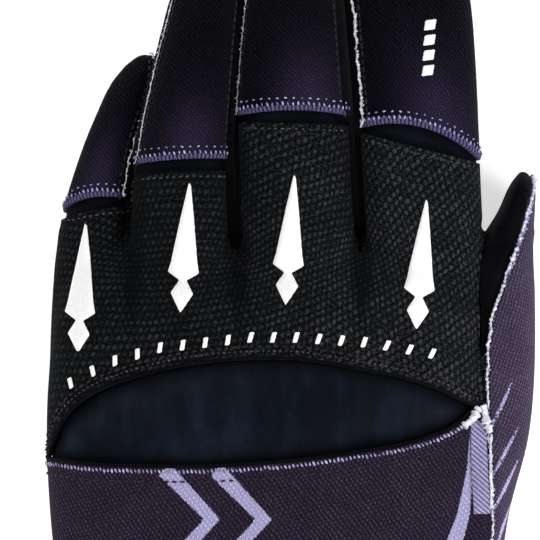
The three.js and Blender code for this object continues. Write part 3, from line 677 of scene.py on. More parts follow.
# The printed knit of the back panel, the finger backs and the thumb. It is a dark polyester interlock
# with small raised loops, and pale bands and streaks are printed on it by heat transfer.
# Loops on a slanting grid, each a little different. Row and Wale step from a loop to the next ones.
knit_loops, given, result = new_group(
    "knit_loops", [("Place", "Vector", None), ("Row", "Vector", (1, 0, 0)), ("Wale", "Vector", (0, 1, 0)),
                   ("Rows", "Vector", (1, 0, 0)), ("Wales", "Vector", (0, 1, 0)), ("Lean", "Float", 0.0),
                   ("Half Width", "Float", 0.4), ("Half Length", "Float", 0.6)], ["Loop", "Chance"])
wander = add(knit_loops, "ShaderNodeTexNoise", given["Place"], None, 0.35, 1.0, 0.5).outputs["Color"]
wander = add(knit_loops, "ShaderNodeVectorMath", wander, (0.5, 0.5, 0.5), operation="SUBTRACT").outputs[0]
spot = add(knit_loops, "ShaderNodeVectorMath", wander, (0.9, 0.9, 0), given["Place"],
           operation="MULTIPLY_ADD").outputs[0]
steps = [add(knit_loops, "ShaderNodeVectorMath", spot, given[key], operation="DOT_PRODUCT").outputs["Value"]
         for key in ("Rows", "Wales")]
cells = [maths(knit_loops, "ROUND", step) for step in steps]
offs = [maths(knit_loops, "SUBTRACT", step, cell) for step, cell in zip(steps, cells)]
parts = []
for off, key in zip(offs, ("Row", "Wale")):
    scaled = add(knit_loops, "ShaderNodeVectorMath", given[key], operation="SCALE")
    knit_loops.links.new(off, scaled.inputs["Scale"])
    parts.append(scaled.outputs[0])
local = add(knit_loops, "ShaderNodeVectorMath", parts[0], parts[1], operation="ADD").outputs[0]
turned = add(knit_loops, "ShaderNodeVectorRotate", local, rotation_type="Z_AXIS")
knit_loops.links.new(given["Lean"], turned.inputs["Angle"])
halves = add(knit_loops, "ShaderNodeCombineXYZ", given["Half Width"], given["Half Length"], 1.0).outputs[0]
reach = add(knit_loops, "ShaderNodeVectorMath", turned.outputs[0], halves, operation="DIVIDE").outputs[0]
reach = add(knit_loops, "ShaderNodeVectorMath", reach, operation="LENGTH").outputs["Value"]
knit_loops.links.new(ramp(knit_loops, reach, 1.15, 0.25), result["Loop"])
seat = add(knit_loops, "ShaderNodeCombineXYZ", cells[0], cells[1], 0.0).outputs[0]
seat = add(knit_loops, "ShaderNodeTexWhiteNoise", seat, noise_dimensions="2D")
knit_loops.links.new(seat.outputs["Value"], result["Chance"])


def loops_on(tree, place, row, wale, width, length, lean):
    (ax, ay), (bx, by) = row, wale
    area = ax * by - ay * bx
    return use_group(tree, knit_loops, Place=place, Row=(ax, ay, 0), Wale=(bx, by, 0),
                     Rows=(by / area, -bx / area, 0), Wales=(-ay / area, ax / area, 0),
                     Lean=math.radians(lean), Half_Width=width, Half_Length=length)


def knit_material(name, low, high, warm, row, wale, width, length, lean, print_key=None, prints=None):
    """A knit whose ground runs from a low colour to a high or warm one, with a print where a mark says."""
    made, shader = cloth_material(name, high[:3], 0.85, 0.05, 0.04, (0.75, 0.7, 0.95))
    tree = made.node_tree
    place = pattern_place(tree)
    tone, fuzz = tones(tree, place, 12.0, 0.42)
    loop, chance = loops_on(tree, place, row, wale, width, length, lean)
    height = times(tree, loop, ramp(tree, chance, 0, 1, 0.6, 1.0))
    lit = maths(tree, "MULTIPLY_ADD", height, 0.75, ramp(tree, fuzz, 0, 1, -0.12, 0.3))
    lit = times(tree, lit, ramp(tree, tone, 0, 1, 0.75, 1.1), clamp=True)
    colour = blend(tree, lit, low, blend(tree, ramp(tree, chance, 0.35, 0.65), high, warm))
    if print_key == "hem":
        # Painted sheen: the mark lightens the knit near the hem, towards the thumb side of each finger.
        bright = times(tree, mark(tree, "painted_sheen"), ramp(tree, lit, 0, 1, 0.3, 1.0))
        colour = blend(tree, bright, colour, tint(62, 52, 84))
        split = add(tree, "ShaderNodeSeparateXYZ", place).outputs
        ribs = maths(tree, "SINE", times(tree, split["X"], 2 * math.pi / 0.95))
        lit = plus(tree, ramp(tree, ribs, -1, 1, 0.05, 0.75), ramp(tree, fuzz, 0, 1, -0.15, 0.25), clamp=True)
    if print_key:
        ink = plus(tree, mark(tree, print_key), ramp(tree, fuzz, 0, 1, -0.16, 0.12))
        colour = blend(tree, ramp(tree, ink, -0.12, 0.14), colour, blend(tree, lit, *prints))
    tree.links.new(colour, shader.inputs["Base Color"])
    tree.links.new(ramp(tree, loop, 0, 1, 0.95, 0.75), shader.inputs["Roughness"])
    bump(tree, plus(tree, height, times(tree, fuzz, 0.35)), 0.25, shader)
    return made


def inside_of(points, outline):
    """How far points in plan are inside a closed outline, below nought outside it."""
    p, a = points[:, None, :2], np.array(outline, float)
    b = np.roll(a, -1, 0)
    side = b - a
    t = np.clip(((p - a) * side).sum(2) / (side ** 2).sum(1), 0, 1)[..., None]
    away = np.linalg.norm(p - a - t * side, axis=2).min(1)
    x, y = points[:, 0:1], points[:, 1:2]
    crossed = (a[:, 1] > y) != (b[:, 1] > y)
    crossed &= x < side[:, 0] * (y - a[:, 1]) / (side[:, 1] + 1e-12) + a[:, 0]
    return np.where(crossed.sum(1) % 2 == 1, away, -away)


def band(line, widths):
    """The outline of a band along a line, with its width at each point of the line."""
    line = np.array(line, float)
    step = np.array([line[1] - line[0], *(line[2:] - line[:-2]), line[-1] - line[-2]])
    side = unit(np.stack([-step[:, 1], step[:, 0]], 1))
    half = np.reshape(widths, (-1, 1)) / 2
    return np.concatenate([line + side * half, (line - side * half)[::-1]])


def turned_hem(inside, wide, high, lip, dip):
    """The rise of a hem that is turned under, with its rim rolled down at the very edge."""
    fold = np.clip(1 - inside / wide, 0, 1)
    return high * (fold * (2 - fold)) - dip * np.clip(1 - inside / lip, 0, 1) ** 2


back_knit = knit_material("back_knit", tint(20, 14, 26), tint(66, 57, 80), tint(72, 60, 76),
                          (0.58, -0.73), (-0.43, -1.02), 0.34, 0.5, -25,
                          "stripe", (tint(150, 144, 184), tint(206, 202, 232)))
ZIGZAG = [(0, -12.5), (11, -24), (0, -36), (11, -48), (0, -60)]
stripes = [band([(x + across, y) for across, y in ZIGZAG], [3.8] * 5) for x in (-24, -12)]
stripes.append(band([(47.6, -1), (47.2, -12), (45.6, -23), (42, -34), (37, -50)],
                    [0.7, 1.5, 2.9, 4.2, 5.6]))
back_sheet = sheet = cut_out(BACK - SLIT, LOWER - Y, WRIST - SLIT, BODY - SLIT)
stripe = np.max([inside_of(sheet.points, s) for s in stripes], axis=0)
dress(sewn("back_panel_knit", sheet, KNIT_THICK, seams=(0, 2, 3), place=flattened(sheet),
           marks={"stripe": stripe}, rise=turned_hem(sheet.keeps[1], 2.4, 0.3, 0.9, 0.35)),
      back_knit, "printed_knit", "back_panel", cut=(116.3, 91.1, 8570))

# The finger backs take a darker copy of the knit: partly the cloth's own print, partly painted shade where
# the fingers bend away from the lamps.
finger_knit = knit_material("finger_knit", tint(0, 0, 1), tint(13, 10, 19), tint(19, 14, 21),
                            (0.5, -0.57), (-0.36, -0.8), 0.27, 0.38, -25,
                            "hem", (tint(20, 17, 34), tint(110, 102, 148)))
FINGER_CUT = {"index": (38.7, 54.3, 1660), "middle": (30.9, 53.2, 1290), "ring": (28.8, 50.3, 1020),
              "little": (31.6, 36.9, 760)}
finger_sheets = {}
for f in FINGERS:
    finger_sheets[f] = sheet = cut_out(OWN[f], Y - HEM_AT, -ANY_STRIP - SLIT, BODY - SLIT)
    at, inside = about(f, sheet.points), sheet.keeps[1]
    hem_wide, sheen_reach = (1.5, 16) if f == "index" else (1.0, 13)
    # Painted sheen along each finger near its hem, strongest towards the thumb side.
    painted_sheen = np.exp(-(inside / sheen_reach) ** 2) * np.exp(-(at.p / at.wide - 0.3) ** 2 / 0.3)
    dress(sewn("finger_back_" + f + "_knit", sheet, KNIT_THICK, seams=(0, 2), place=flattened(sheet),
               rise=turned_hem(inside, 3.2, 0.35, 0.8, 0.3), marks={"hem": hem_wide - inside, "painted_sheen": painted_sheen}),
          finger_knit, "printed_knit", "finger_back_" + f, cut=FINGER_CUT[f])

# The thumb takes a lighter copy of the knit: partly the cloth's own tone, partly painted light on the side
# that faces the lamps.
thumb_knit = knit_material("thumb_knit", tint(44, 36, 54), tint(96, 88, 116), tint(106, 90, 110),
                           (-0.3, -0.76), (0.45, -1.06), 0.32, 0.5, 20,
                           "streak", (tint(160, 152, 196), tint(222, 216, 244)))
STREAKS = [([(51.6, -3.5), (54.5, 2), (57.2, 8.2)], (0.7, 0.9, 0.3)),
           ([(52, -15.2), (55.5, -8.5), (58.8, -2.6)], (0.4, 0.9, 0.3)),
           ([(52, -23.5), (55.5, -17), (58.6, -10.6)], (0.4, 0.9, 0.3)),
           ([(53.4, -31.5), (55.2, -26), (57.2, -21)], (0.4, 0.8, 0.3))]
thumb_sheet = sheet = cut_out(THUMB_SIDE - SLIT)
streak = np.max([inside_of(sheet.points, band(*s)) for s in STREAKS], axis=0)
dress(sewn("thumb_back_knit", sheet, KNIT_THICK, place=flattened(sheet), marks={"streak": streak}),
      thumb_knit, "printed_knit", "thumb_back", cut=(40.4, 122.1, 3240))


# The knuckle panel. It is an open spacer mesh, nearly black, in one piece with a tongue on the root of
# each finger. Its lower edge is turned under and topstitched over the stretch insert.
knuckle_mesh, shader = cloth_material("knuckle_mesh", (0.012, 0.012, 0.015), 0.9, 0.04, 0.02,
                                      (0.8, 0.85, 0.9))
tree = knuckle_mesh.node_tree
place = pattern_place(tree)
tone, fuzz = tones(tree, place, 10.0, 0.35)
loop, chance = loops_on(tree, place, (1.22, 0.41), (1.02, -1.22), 0.5, 0.68, 30)
yarn = times(tree, loop, ramp(tree, chance, 0, 1, 0.4, 1.0))
lit = plus(tree, yarn, ramp(tree, fuzz, 0, 1, -0.55, 0.5))
# Painted shade: the mesh darkens towards the grooves between the fingers.
groove_shade = ramp(tree, mark(tree, "groove"), 0.6, 4.2, 0.25, 1.0)
# Painted light: the mesh is lighter towards the thumb, where the main lamp stands, and darker towards the
# little finger.
towards_thumb = add(tree, "ShaderNodeSeparateXYZ", body_place(tree)).outputs["X"]
light = times(tree, ramp(tree, towards_thumb, -25, 42, 0.5, 1.05), ramp(tree, tone, 0, 1, 0.75, 1.1))
lit = times(tree, lit, times(tree, groove_shade, light), clamp=True)
tree.links.new(blend(tree, lit, tint(2, 3, 4), blend(tree, chance, tint(60, 63, 63), tint(64, 64, 71))),
               shader.inputs["Base Color"])
bump(tree, plus(tree, yarn, times(tree, fuzz, 0.4)), 0.28, shader)
knuckle_sheet = sheet = cut_out(BACK - SLIT, Y - UPPER, TONGUE_AT - Y, -ANY_STRIP - SLIT, BODY - SLIT,
                                GROOVE + 0.1)
dress(sewn("knuckle_panel_mesh", sheet, KNIT_THICK, seams=(0, 3, 4), place=flattened(sheet),
           near=1.8, sink=0.6, marks={"groove": sheet.keeps[5]},
           rise=turned_hem(sheet.keeps[1], 2.6, 0.3, 0.9, 0.35)),
      knuckle_mesh, "knuckle_mesh", "knuckle_panel", cut=(123.2, 80.5, 6570))


# The palm, the strips between the fingers and the front of the thumb. They are a soft black microsuede
# with a short nap, thicker than the back and sewn to it along the sides of every finger.
palm_suede, shader = cloth_material("palm_suede", (0.01, 0.01, 0.011), 0.95, 0.03, 0.05, (0.8, 0.82, 0.9))
tree = palm_suede.node_tree
place = body_place(tree)
tone, fuzz = tones(tree, place, 11.0, 0.45)
lit = plus(tree, times(tree, tone, 0.6), times(tree, fuzz, 0.4))
tree.links.new(blend(tree, lit, tint(1, 1, 2), tint(13, 13, 16)), shader.inputs["Base Color"])
bump(tree, plus(tree, fuzz, times(tree, tone, 1.5)), 0.12, shader)
STRIP_CUT = {"index": (20.5, 79.7, 1450), "middle": (24, 80.4, 1520), "ring": (19.4, 62.8, 956)}
for (right, left), strip in STRIP.items():
    sheet = cut_out(strip - SLIT, BODY - SLIT)
    away = distance_to(sheet.points, sheet.points[np.unique(edge_of(sheet))])
    puff = (0.6 + 0.75 * np.exp(-((sheet.points[:, 1] - 54) / 14) ** 2)) * (1 - np.exp(-(away / 2) ** 2))
    puff = puff * np.clip((sheet.points[:, 1] - 26) / 10, 0, 1)
    name = "fourchette_" + right + "_" + left
    dress(sewn(name + "_suede", sheet, SUEDE_THICK, rise=puff),
          palm_suede, "palm_suede", name, cut=STRIP_CUT[right])
sheet = cut_out(THUMB_FRONT - SLIT, -THUMB_SIDE - SLIT)
dress(sewn("thumb_front_suede", sheet, SUEDE_THICK), palm_suede, "palm_suede", "thumb_front",
      cut=(22, 48, 980))
palm_sheet = cut_out(-BACK - SLIT, -ANY_STRIP - SLIT, BODY - SLIT, WRIST - SLIT)
dress(sewn("palm_panel_suede", palm_sheet, SUEDE_THICK), palm_suede, "palm_suede", "palm",
      cut=(135, 208, 19030))


# The cuff. It is an elastic tube of rib knit, doubled over at its open end and sewn to the back panel
# and the palm round the wrist.
RIBS, CUFF_ROUND = 92, 184
rib_knit, shader = cloth_material("rib_knit", (0.02, 0.018, 0.024), 0.9, 0.04, 0.04, (0.8, 0.78, 0.95))
tree = rib_knit.node_tree
place = pattern_place(tree)
tone, fuzz = tones(tree, place, 12.0, 0.3)
loop, chance = loops_on(tree, place, (0.62, 0.5), (0.62, -0.5), 0.24, 0.36, 0)
# Painted shade: the loops are darker in the valleys between the ribs than on their crests.
lit = times(tree, loop, ramp(tree, mark(tree, "crest"), -1, 1, 0.3, 1.0))
lit = plus(tree, lit, ramp(tree, fuzz, 0, 1, -0.1, 0.1), clamp=True)
tree.links.new(blend(tree, lit, tint(6, 6, 9), tint(48, 46, 54)), shader.inputs["Base Color"])
bump(tree, plus(tree, loop, times(tree, fuzz, 0.3)), 0.15, shader)
turn = np.linspace(0, 2 * math.pi, RIBS * 4, endpoint=False)
ends = [(-118, -1.1), (-117.9, -0.55), (-117.4, -0.1)]
outer = [*ends, *[(y, 0) for y in np.arange(-116.6, -89, 1.25)],
         (-88.4, -0.1), (-87.6, -0.4), (-87.15, -0.9)]
inner = [(-87.15, -1.6), *[(y, -2.2) for y in np.arange(-88, -116, -4)], (-117, -2.2), (-117.9, -1.7)]
rings, places, crests = [], [], []
for y, lift in [*outer, *inner]:
    x, z, wide, high, roll = along(FORM["hand"], y)
    rib = np.cos(turn * RIBS)
    depth = lift + (0.28 * (rib - 1) if lift > -1 and -116 < y < -88.4 else -0.15)
    p, q = wide * rounded(np.cos(turn)), high * rounded(np.sin(turn))
    size = np.hypot(p / wide ** 2, q / high ** 2) + 1e-9
    p, q = p + p / wide ** 2 / size * depth, q + q / high ** 2 / size * depth
    c, s = math.cos(math.radians(roll)), math.sin(math.radians(roll))
    rings.append(np.stack([x + p * c - q * s, p * 0 + y, np.maximum(z + p * s + q * c, 0)], 1))
    places.append(np.stack([turn / (2 * math.pi) * CUFF_ROUND, p * 0 + y], 1))
    crests.append(rib * (1 if lift > -1 else 0))
n, m = len(turn), len(rings)
cuff = cloth_mesh("cuff_rib", np.concatenate(rings), tube_faces(m, n, closed=True),
                  np.concatenate(places), {"crest": np.concatenate(crests), "from_edge": np.zeros(n * m)})
flat = cuff.data.uv_layers[0].data
for face in cuff.data.polygons:
    if face.index % n == n - 1:
        for loop_index in face.loop_indices:
            if flat[loop_index].uv.x < 0.7:
                flat[loop_index].uv.x += CUFF_ROUND / PATTERN_WIDE
dress(cuff, rib_knit, "rib_knit", "cuff", cut=(184, 34, 6210))


# The raised marks on the knuckles, and the row of small ticks behind them. They are white rubber ink,
# thick on the knuckles and thin on the ticks, printed onto the finished mesh.
white_print, shader = cloth_material("white_print", (0.9, 0.9, 0.88), 0.5, 0.3)
tree = white_print.node_tree
place = body_place(tree)
tone, fuzz = tones(tree, place, 5.0, 0.5)
tree.links.new(blend(tree, fuzz, tint(243, 243, 238), tint(255, 255, 252)), shader.inputs["Base Color"])
bump(tree, fuzz, 0.04, shader)


def patch(outline, step):
    """A patch of an outline seen from above, laid on the form."""
    outline = np.array(outline, float)
    low, high = outline.min(0) - step, outline.max(0) + step
    xs, ys = (np.arange(low[k], high[k] + step, step) for k in (0, 1))
    points, out = from_above([(x, y) for y in ys for x in xs])
    n, m = len(xs), len(ys)
    i = (np.arange(m - 1)[:, None] * n + np.arange(n - 1)).ravel()
    corners = np.concatenate([np.stack([i, i + 1, i + n + 1], 1), np.stack([i, i + n + 1, i + n], 1)])
    return trimmed(points, out, corners, [inside_of(points, outline)])


def joined(sheets):
    """Several sheets as one."""
    start = np.cumsum([0, *[len(s.points) for s in sheets]])
    return SimpleNamespace(points=np.concatenate([s.points for s in sheets]),
                           out=np.concatenate([s.out for s in sheets]),
                           corners=np.concatenate([s.corners + k for s, k in zip(sheets, start)]),
                           keeps=np.concatenate([s.keeps for s in sheets], 1))


def placed(outline, x, y, turn):
    c, s = math.cos(math.radians(turn)), math.sin(math.radians(turn))
    return [(x + a * c - b * s, y + a * s + b * c) for a, b in outline]


HALF_MARK = [(0, 1), (0.2, 0.72), (0.42, 0.38), (0.5, 0.3), (0.1, 0.24), (0.36, 0.14), (0, 0)]
kite = [(a * 7, b * 31) for a, b in HALF_MARK] + [(-a * 7, b * 31) for a, b in HALF_MARK[-2:0:-1]]
KITES = {"index": (34.3, 20.1, -5), "middle": (4.1, 25.8, -4), "ring": (-20.3, 24, -4),
         "little": (-44.3, 14.6, -3)}
for finger, spot in KITES.items():
    dress(sewn("knuckle_print_" + finger, patch(placed(kite, *spot), 0.4), 0.7, lift=0.7, sink=0.3, near=0.5),
          white_print, "white_print", "knuckle_mark_" + finger)
tick = [(-0.75, -1.1), (0.15, -1.1), (0.75, 1.1), (-0.15, 1.1)]
bar = [(-1.5, -1.1), (0.9, -1.1), (1.5, 1.1), (-0.9, 1.1)]
arc = [(-47.7, 6.5), (-37.1, 12.3), (-25.4, 15.8), (-4.2, 18.2), (7.5, 18.2), (24, 17), (39.5, 14.2)]
ticks = []
for x in np.linspace(-46, 38, 17):
    y, ahead = (np.interp(v, *np.array(arc).T) for v in (x, x + 1))
    ticks.append(patch(placed(tick, x, y, math.degrees(math.atan(ahead - y))), 0.25))
bars = [patch(placed(bar, 37.4 + k * 0.2, 80.5 + k * 3.6, 6), 0.25) for k in range(4)]
for name, prints, lift in (("mesh_ticks", ticks, 0.45), ("index_bars", bars, 0.26)):
    dress(sewn(name, joined(prints), 0.24, lift=lift, sink=0.08, near=0.3), white_print, "white_print")


# The tape over the seam beside the thumb. It is a pale twill ribbon, folded under at its top.
twill, shader = cloth_material("twill_tape", (0.45, 0.42, 0.62), 0.85, 0.12, 0.1)
tree = twill.node_tree
place = body_place(tree)
split = add(tree, "ShaderNodeSeparateXYZ", place).outputs
slant = plus(tree, times(tree, split["X"], 0.75), times(tree, split["Y"], 0.85))
rib = maths(tree, "ABSOLUTE", maths(tree, "SINE", times(tree, slant, math.pi)))
tone, fuzz = tones(tree, place, 6.0, 0.3)
lit = plus(tree, ramp(tree, rib, 0.1, 0.9), ramp(tree, fuzz, 0, 1, -0.4, 0.3), clamp=True)
tree.links.new(blend(tree, lit, tint(96, 90, 126), tint(176, 170, 208)), shader.inputs["Base Color"])
bump(tree, plus(tree, rib, times(tree, fuzz, 0.2)), 0.35, shader)
seam_x = lambda y: float(along(THUMB_SEAM, y)[0])
ys = np.linspace(-1.2, -22.9, 8)
tape = [(seam_x(y) - 0.4, y) for y in ys] + [(seam_x(y) - 4.2, y) for y in ys[::-1]]
dress(sewn("seam_tape_twill", patch(tape, 0.5), 0.6, lift=0.85, sink=0.25, near=0.6), twill, "twill_tape",
      "thumb_seam_tape")


# The threads. Bright doubled rows hold the hems, fuzzy overlocked ridges run down the fingers, the thumb
# and beside the tape, and dark rows hold the rest. Each stitch is a short, plump length of thread, and a
# thin black piping edges the stretch insert.
def seam_of(sheet, *which):
    """The longest stretch of a sheet's edge where it was cut along some of its measures."""
    rim = edge_of(sheet)
    rim = rim[(sheet.keeps[list(which)] == 0).any(0)[rim].all(1)]
    follow = dict(rim.tolist())
    starts = [a for a in follow if a not in set(follow.values())] or [next(iter(follow))]
    best = []
    for start in starts:
        run = [start]
        while run[-1] in follow and follow[run[-1]] != start:
            run.append(follow[run[-1]])
        best = run if len(run) > len(best) else best
    line = sheet.points[best]
    for _ in range(6):
        line[1:-1] = (line[:-2] + line[1:-1] * 2 + line[2:]) / 4
    return line


def spaced(line, step):
    """Points at an even step along a line."""
    far = np.concatenate([[0], np.cumsum(np.linalg.norm(np.diff(line, axis=0), axis=1))])
    at = np.arange(step / 2, far[-1], step)
    return np.stack([np.interp(at, far, line[:, k]) for k in range(3)], 1)


def beside(line, inset, step, lift):
    """Places along a seam and a little inside it, with the way along it, across it and out of it."""
    place, out = on_skin(spaced(line, 0.5))
    ahead = np.gradient(place, axis=0)
    moved, _ = on_skin(place + unit(np.cross(out, ahead)) * inset)
    place, out = on_skin(spaced(moved, step), lift)
    ahead = unit(np.gradient(place, axis=0))
    return place, ahead, unit(np.cross(out, ahead)), out


stitch_tree = bpy.data.node_groups.new("lay_stitches", "GeometryNodeTree")
face = stitch_tree.interface
face.new_socket("Stitches", in_out="OUTPUT", socket_type="NodeSocketGeometry")
face.new_socket("Places", in_out="INPUT", socket_type="NodeSocketGeometry")
for label, kind in (("Length", "Float"), ("Thickness", "Float"), ("Uneven", "Float"), ("Seed", "Int"),
                    ("Thread", "Material")):
    face.new_socket(label, in_out="INPUT", socket_type="NodeSocket" + kind)
given = stitch_tree.nodes.new("NodeGroupInput").outputs
ball = add(stitch_tree, "GeometryNodeMeshUVSphere", 7, 5, 0.5).outputs["Mesh"]
ball = add(stitch_tree, "GeometryNodeSetShadeSmooth", ball).outputs[0]
way, up, size = (
    add(stitch_tree, "GeometryNodeInputNamedAttribute", key, data_type="FLOAT_VECTOR").outputs[0]
    for key in ("way", "up", "size"))
turn = add(stitch_tree, "FunctionNodeAlignRotationToVector", None, 1.0, way, axis="X").outputs[0]
turn = add(stitch_tree, "FunctionNodeAlignRotationToVector", turn, 1.0, up,
           axis="Z", pivot_axis="X").outputs[0]
low = add(stitch_tree, "ShaderNodeMath", 1.0, given["Uneven"], operation="SUBTRACT").outputs[0]
high = add(stitch_tree, "ShaderNodeMath", 1.0, given["Uneven"], operation="ADD").outputs[0]
chance = add(stitch_tree, "FunctionNodeRandomValue", data_type="FLOAT")
for source, label in ((low, 2), (high, 3), (given["Seed"], "Seed")):
    stitch_tree.links.new(source, chance.inputs[label])
girth = add(stitch_tree, "ShaderNodeCombineXYZ",
            given["Length"], given["Thickness"], given["Thickness"]).outputs[0]
girth = add(stitch_tree, "ShaderNodeVectorMath", girth, size, operation="MULTIPLY").outputs[0]
grown = add(stitch_tree, "ShaderNodeVectorMath", girth, operation="SCALE")
stitch_tree.links.new(chance.outputs[1], grown.inputs["Scale"])
laid = add(stitch_tree, "GeometryNodeInstanceOnPoints", given["Places"])
for source, label in ((ball, "Instance"), (turn, "Rotation"), (grown.outputs[0], "Scale")):
    stitch_tree.links.new(source, laid.inputs[label])
real = add(stitch_tree, "GeometryNodeRealizeInstances", laid.outputs[0]).outputs[0]
last = add(stitch_tree, "GeometryNodeSetMaterial", real)
stitch_tree.links.new(given["Thread"], last.inputs["Material"])
stitch_tree.links.new(last.outputs[0], stitch_tree.nodes.new("NodeGroupOutput").inputs[0])


def stitches(name, rows, length, thickness, uneven, seed, material, slot):
    """Stitches at rows of places, made real as one plain mesh."""
    places, ways, ups, sizes = (np.concatenate([row[k] for row in rows]) for k in range(4))
    holder = plain_mesh(name + "_places", places, [])
    for key, values in (("way", ways), ("up", ups), ("size", sizes)):
        holder.data.attributes.new(key, "FLOAT_VECTOR", "POINT").data.foreach_set(
            "vector", values.astype(np.float32).ravel())
    layer = holder.modifiers.new("stitches", "NODES")
    layer.node_group = stitch_tree
    values = {"Length": length * 0.001, "Thickness": thickness * 0.001, "Uneven": uneven, "Seed": seed,
              "Thread": material}
    for item in stitch_tree.interface.items_tree:
        if item.in_out == "INPUT" and item.name in values:
            layer[item.identifier] = values[item.name]
    graph = bpy.context.evaluated_depsgraph_get()
    mesh = bpy.data.meshes.new_from_object(holder.evaluated_get(graph), depsgraph=graph)
    bpy.data.objects.remove(holder)
    piece = bpy.data.objects.new(name, mesh)
    scene.collection.objects.link(piece)
    return dress(piece, material, slot)


LOWEST = 0.35  # height of the lowest stitches over the table


def row(line, inset, step, lift, lean=0.0, size=(1, 1, 1), stray=0.0, seed=1):
    """A row of stitches beside a seam, turned to it by some degrees, with stray ones out of line."""
    place, ahead, side, out = beside(line, inset, step, lift)
    rng = np.random.default_rng(seed)
    n = len(place)
    lean = np.radians(lean + stray * 60 * rng.normal(size=n))[:, None]
    place = (place + side * stray * rng.normal(size=(n, 1)) * 0.45
             + out * stray * rng.random((n, 1)) * 0.3)
    place[:, 2] = np.maximum(place[:, 2], LOWEST)
    return place, ahead * np.cos(lean) + side * np.sin(lean), out, np.ones((n, 3)) * size


def thread_material(name, low, high):
    made, shader = cloth_material(name, high[:3], 0.6, 0.25, 0.1)
    tree = made.node_tree
    tone, fuzz = tones(tree, body_place(tree), 1.6, 0.15)
    tree.links.new(blend(tree, tone, low, high), shader.inputs["Base Color"])
    bump(tree, fuzz, 0.05, shader)
    return made


lilac_thread = thread_material("lilac_thread", tint(96, 86, 142), tint(206, 200, 236))
white_thread = thread_material("white_thread", tint(190, 190, 205), tint(252, 252, 255))
grey_thread = thread_material("grey_thread", tint(32, 32, 36), tint(84, 82, 87))
dark_thread = thread_material("dark_thread", tint(6, 6, 9), tint(34, 33, 38))


def part_of(line, keep):
    """The longest stretch of a line where a test holds."""
    marks = np.flatnonzero(np.diff(np.concatenate([[0], keep.astype(int), [0]])))
    runs = marks.reshape(-1, 2)
    start, end = runs[np.argmax(runs[:, 1] - runs[:, 0])]
    return line[start:end]


def side_seam(f, left):
    """The seam down one side of a finger's back."""
    line = seam_of(finger_sheets[f], 0, 2)
    to_left = line[:, 0] < along(FORM[f], line[:, 1])[:, 0]
    return part_of(line, to_left == left)


def overlock(line, inset, lift, girth, seed, waver=0.18, beads=0.5):
    """The ridge of thread down an overlocked seam, as a closed tube that swells at each turn of thread."""
    place, ahead, side, out = beside(line, inset, 0.2, lift)
    rng = np.random.default_rng(seed)
    n, sides = len(place), 9
    slow = np.convolve(rng.normal(size=n + 12), np.hanning(13) / 3.2, "valid")[:n]
    place = place + side * waver * slow[:, None]
    place[:, 2] = np.maximum(place[:, 2], 0.5)
    swell = np.abs(np.sin(np.arange(n) * 0.2 * math.pi / 1.15 + 0.8 * slow))
    rough = np.convolve(rng.normal(size=n + 4), np.hanning(5) / 1.6, "valid")[:n]
    size = girth * (1 - beads + beads * swell) * (1 + (0.3 if beads else 0.08) * rough)
    size[[0, -1]] *= 0.3
    turn = np.linspace(0, 2 * math.pi, sides, endpoint=False)
    ring = place[:, None] + size[:, None, None] * (side[:, None] * np.cos(turn)[:, None]
                                                   + out[:, None] * np.sin(turn)[:, None])
    faces = [(r * sides + j, (r + 1) * sides + j, (r + 1) * sides + (j + 1) % sides,
              r * sides + (j + 1) % sides) for r in range(n - 1) for j in range(sides)]
    faces += [tuple(range(sides)), tuple((n - 1) * sides + j for j in range(sides))[::-1]]
    return ring.reshape(-1, 3), faces


def ridges(name, parts, material, slot):
    """Several ridges of thread as one mesh."""
    points, faces = [], []
    for more, skin in parts:
        faces += [tuple(i + len(points) for i in f) for f in skin]
        points += more.tolist()
    return dress(cloth_mesh(name, points, faces, np.array(points)[:, :2], {}), material, slot)


def frayed(line, inset, step, width, seed, size=(1, 1, 1)):
    """Loose threads that lie every way across an overlocked seam."""
    place, ahead, side, out = beside(line, inset, step, 0.15)
    rng = np.random.default_rng(seed)
    n = len(place)
    place = place + side * rng.normal(0, width / 3, (n, 1)) + out * rng.uniform(-0.1, 0.35, (n, 1))
    place[:, 2] = np.maximum(place[:, 2], LOWEST)
    lean = rng.uniform(-1.2, 1.2, (n, 1))
    way = side * np.cos(lean) + ahead * np.sin(lean) + out * rng.uniform(-0.4, 0.4, (n, 1))
    way[place[:, 2] < 1, 2] = 0
    return place, way, out, np.ones((n, 3)) * size


hem_rows, white_rows, grey_rows, dark_rows = [], [], [], []
for f in FINGERS:
    hem = seam_of(finger_sheets[f], 1)
    hem_rows.append(row(hem, 1.35, 1.2, 0.45, lean=102, size=(0.8, 0.9, 0.9), seed=11, stray=0.18))
    hem_rows.append(row(hem, 2.75, 1.9, 0.25, size=(0.6, 0.75, 0.75), seed=12, stray=0.25))
    for left in {"index": (True,), "little": (False,)}.get(f, (True, False)):
        dark_rows.append(row(side_seam(f, left), 1.5, 1.9, 0.1, size=(1.2, 0.9, 0.7), seed=14))
lower = seam_of(back_sheet, 1)
hem_rows.append(row(lower, 1.0, 0.95, 0.3, lean=110, size=(0.92, 1, 1), seed=13, stray=0.15))
thumb_line = seam_of(thumb_sheet, 0)
TABS = [([(44.8, -2.7), (46.6, -1.2), (48.9, 1.9)], 0.95), ([(49.9, 2.7), (50.7, -0.4), (51.7, -4.4)], 0.95),
        ([(51.9, -4), (51.7, -12), (51.6, -22)], 0.34)]
tabs = [overlock(from_above(line)[0], 0, 0.95, girth, 31, 0.1, 0.3) for line, girth in TABS]
ridges("thumb_seam_ridge", [overlock(thumb_line, 0.2, 0.2, 0.34, 21, 0.2, 0.6), *tabs],
       white_thread, "printed_knit")
hem_rows.append(frayed(thumb_line, 0.3, 0.9, 0.6, 21, (0.7, 0.8, 0.8)))
hem_rows.append(frayed(thumb_line[thumb_line[:, 1] > 32], 0.6, 0.4, 0.9, 24, (0.7, 0.8, 0.8)))
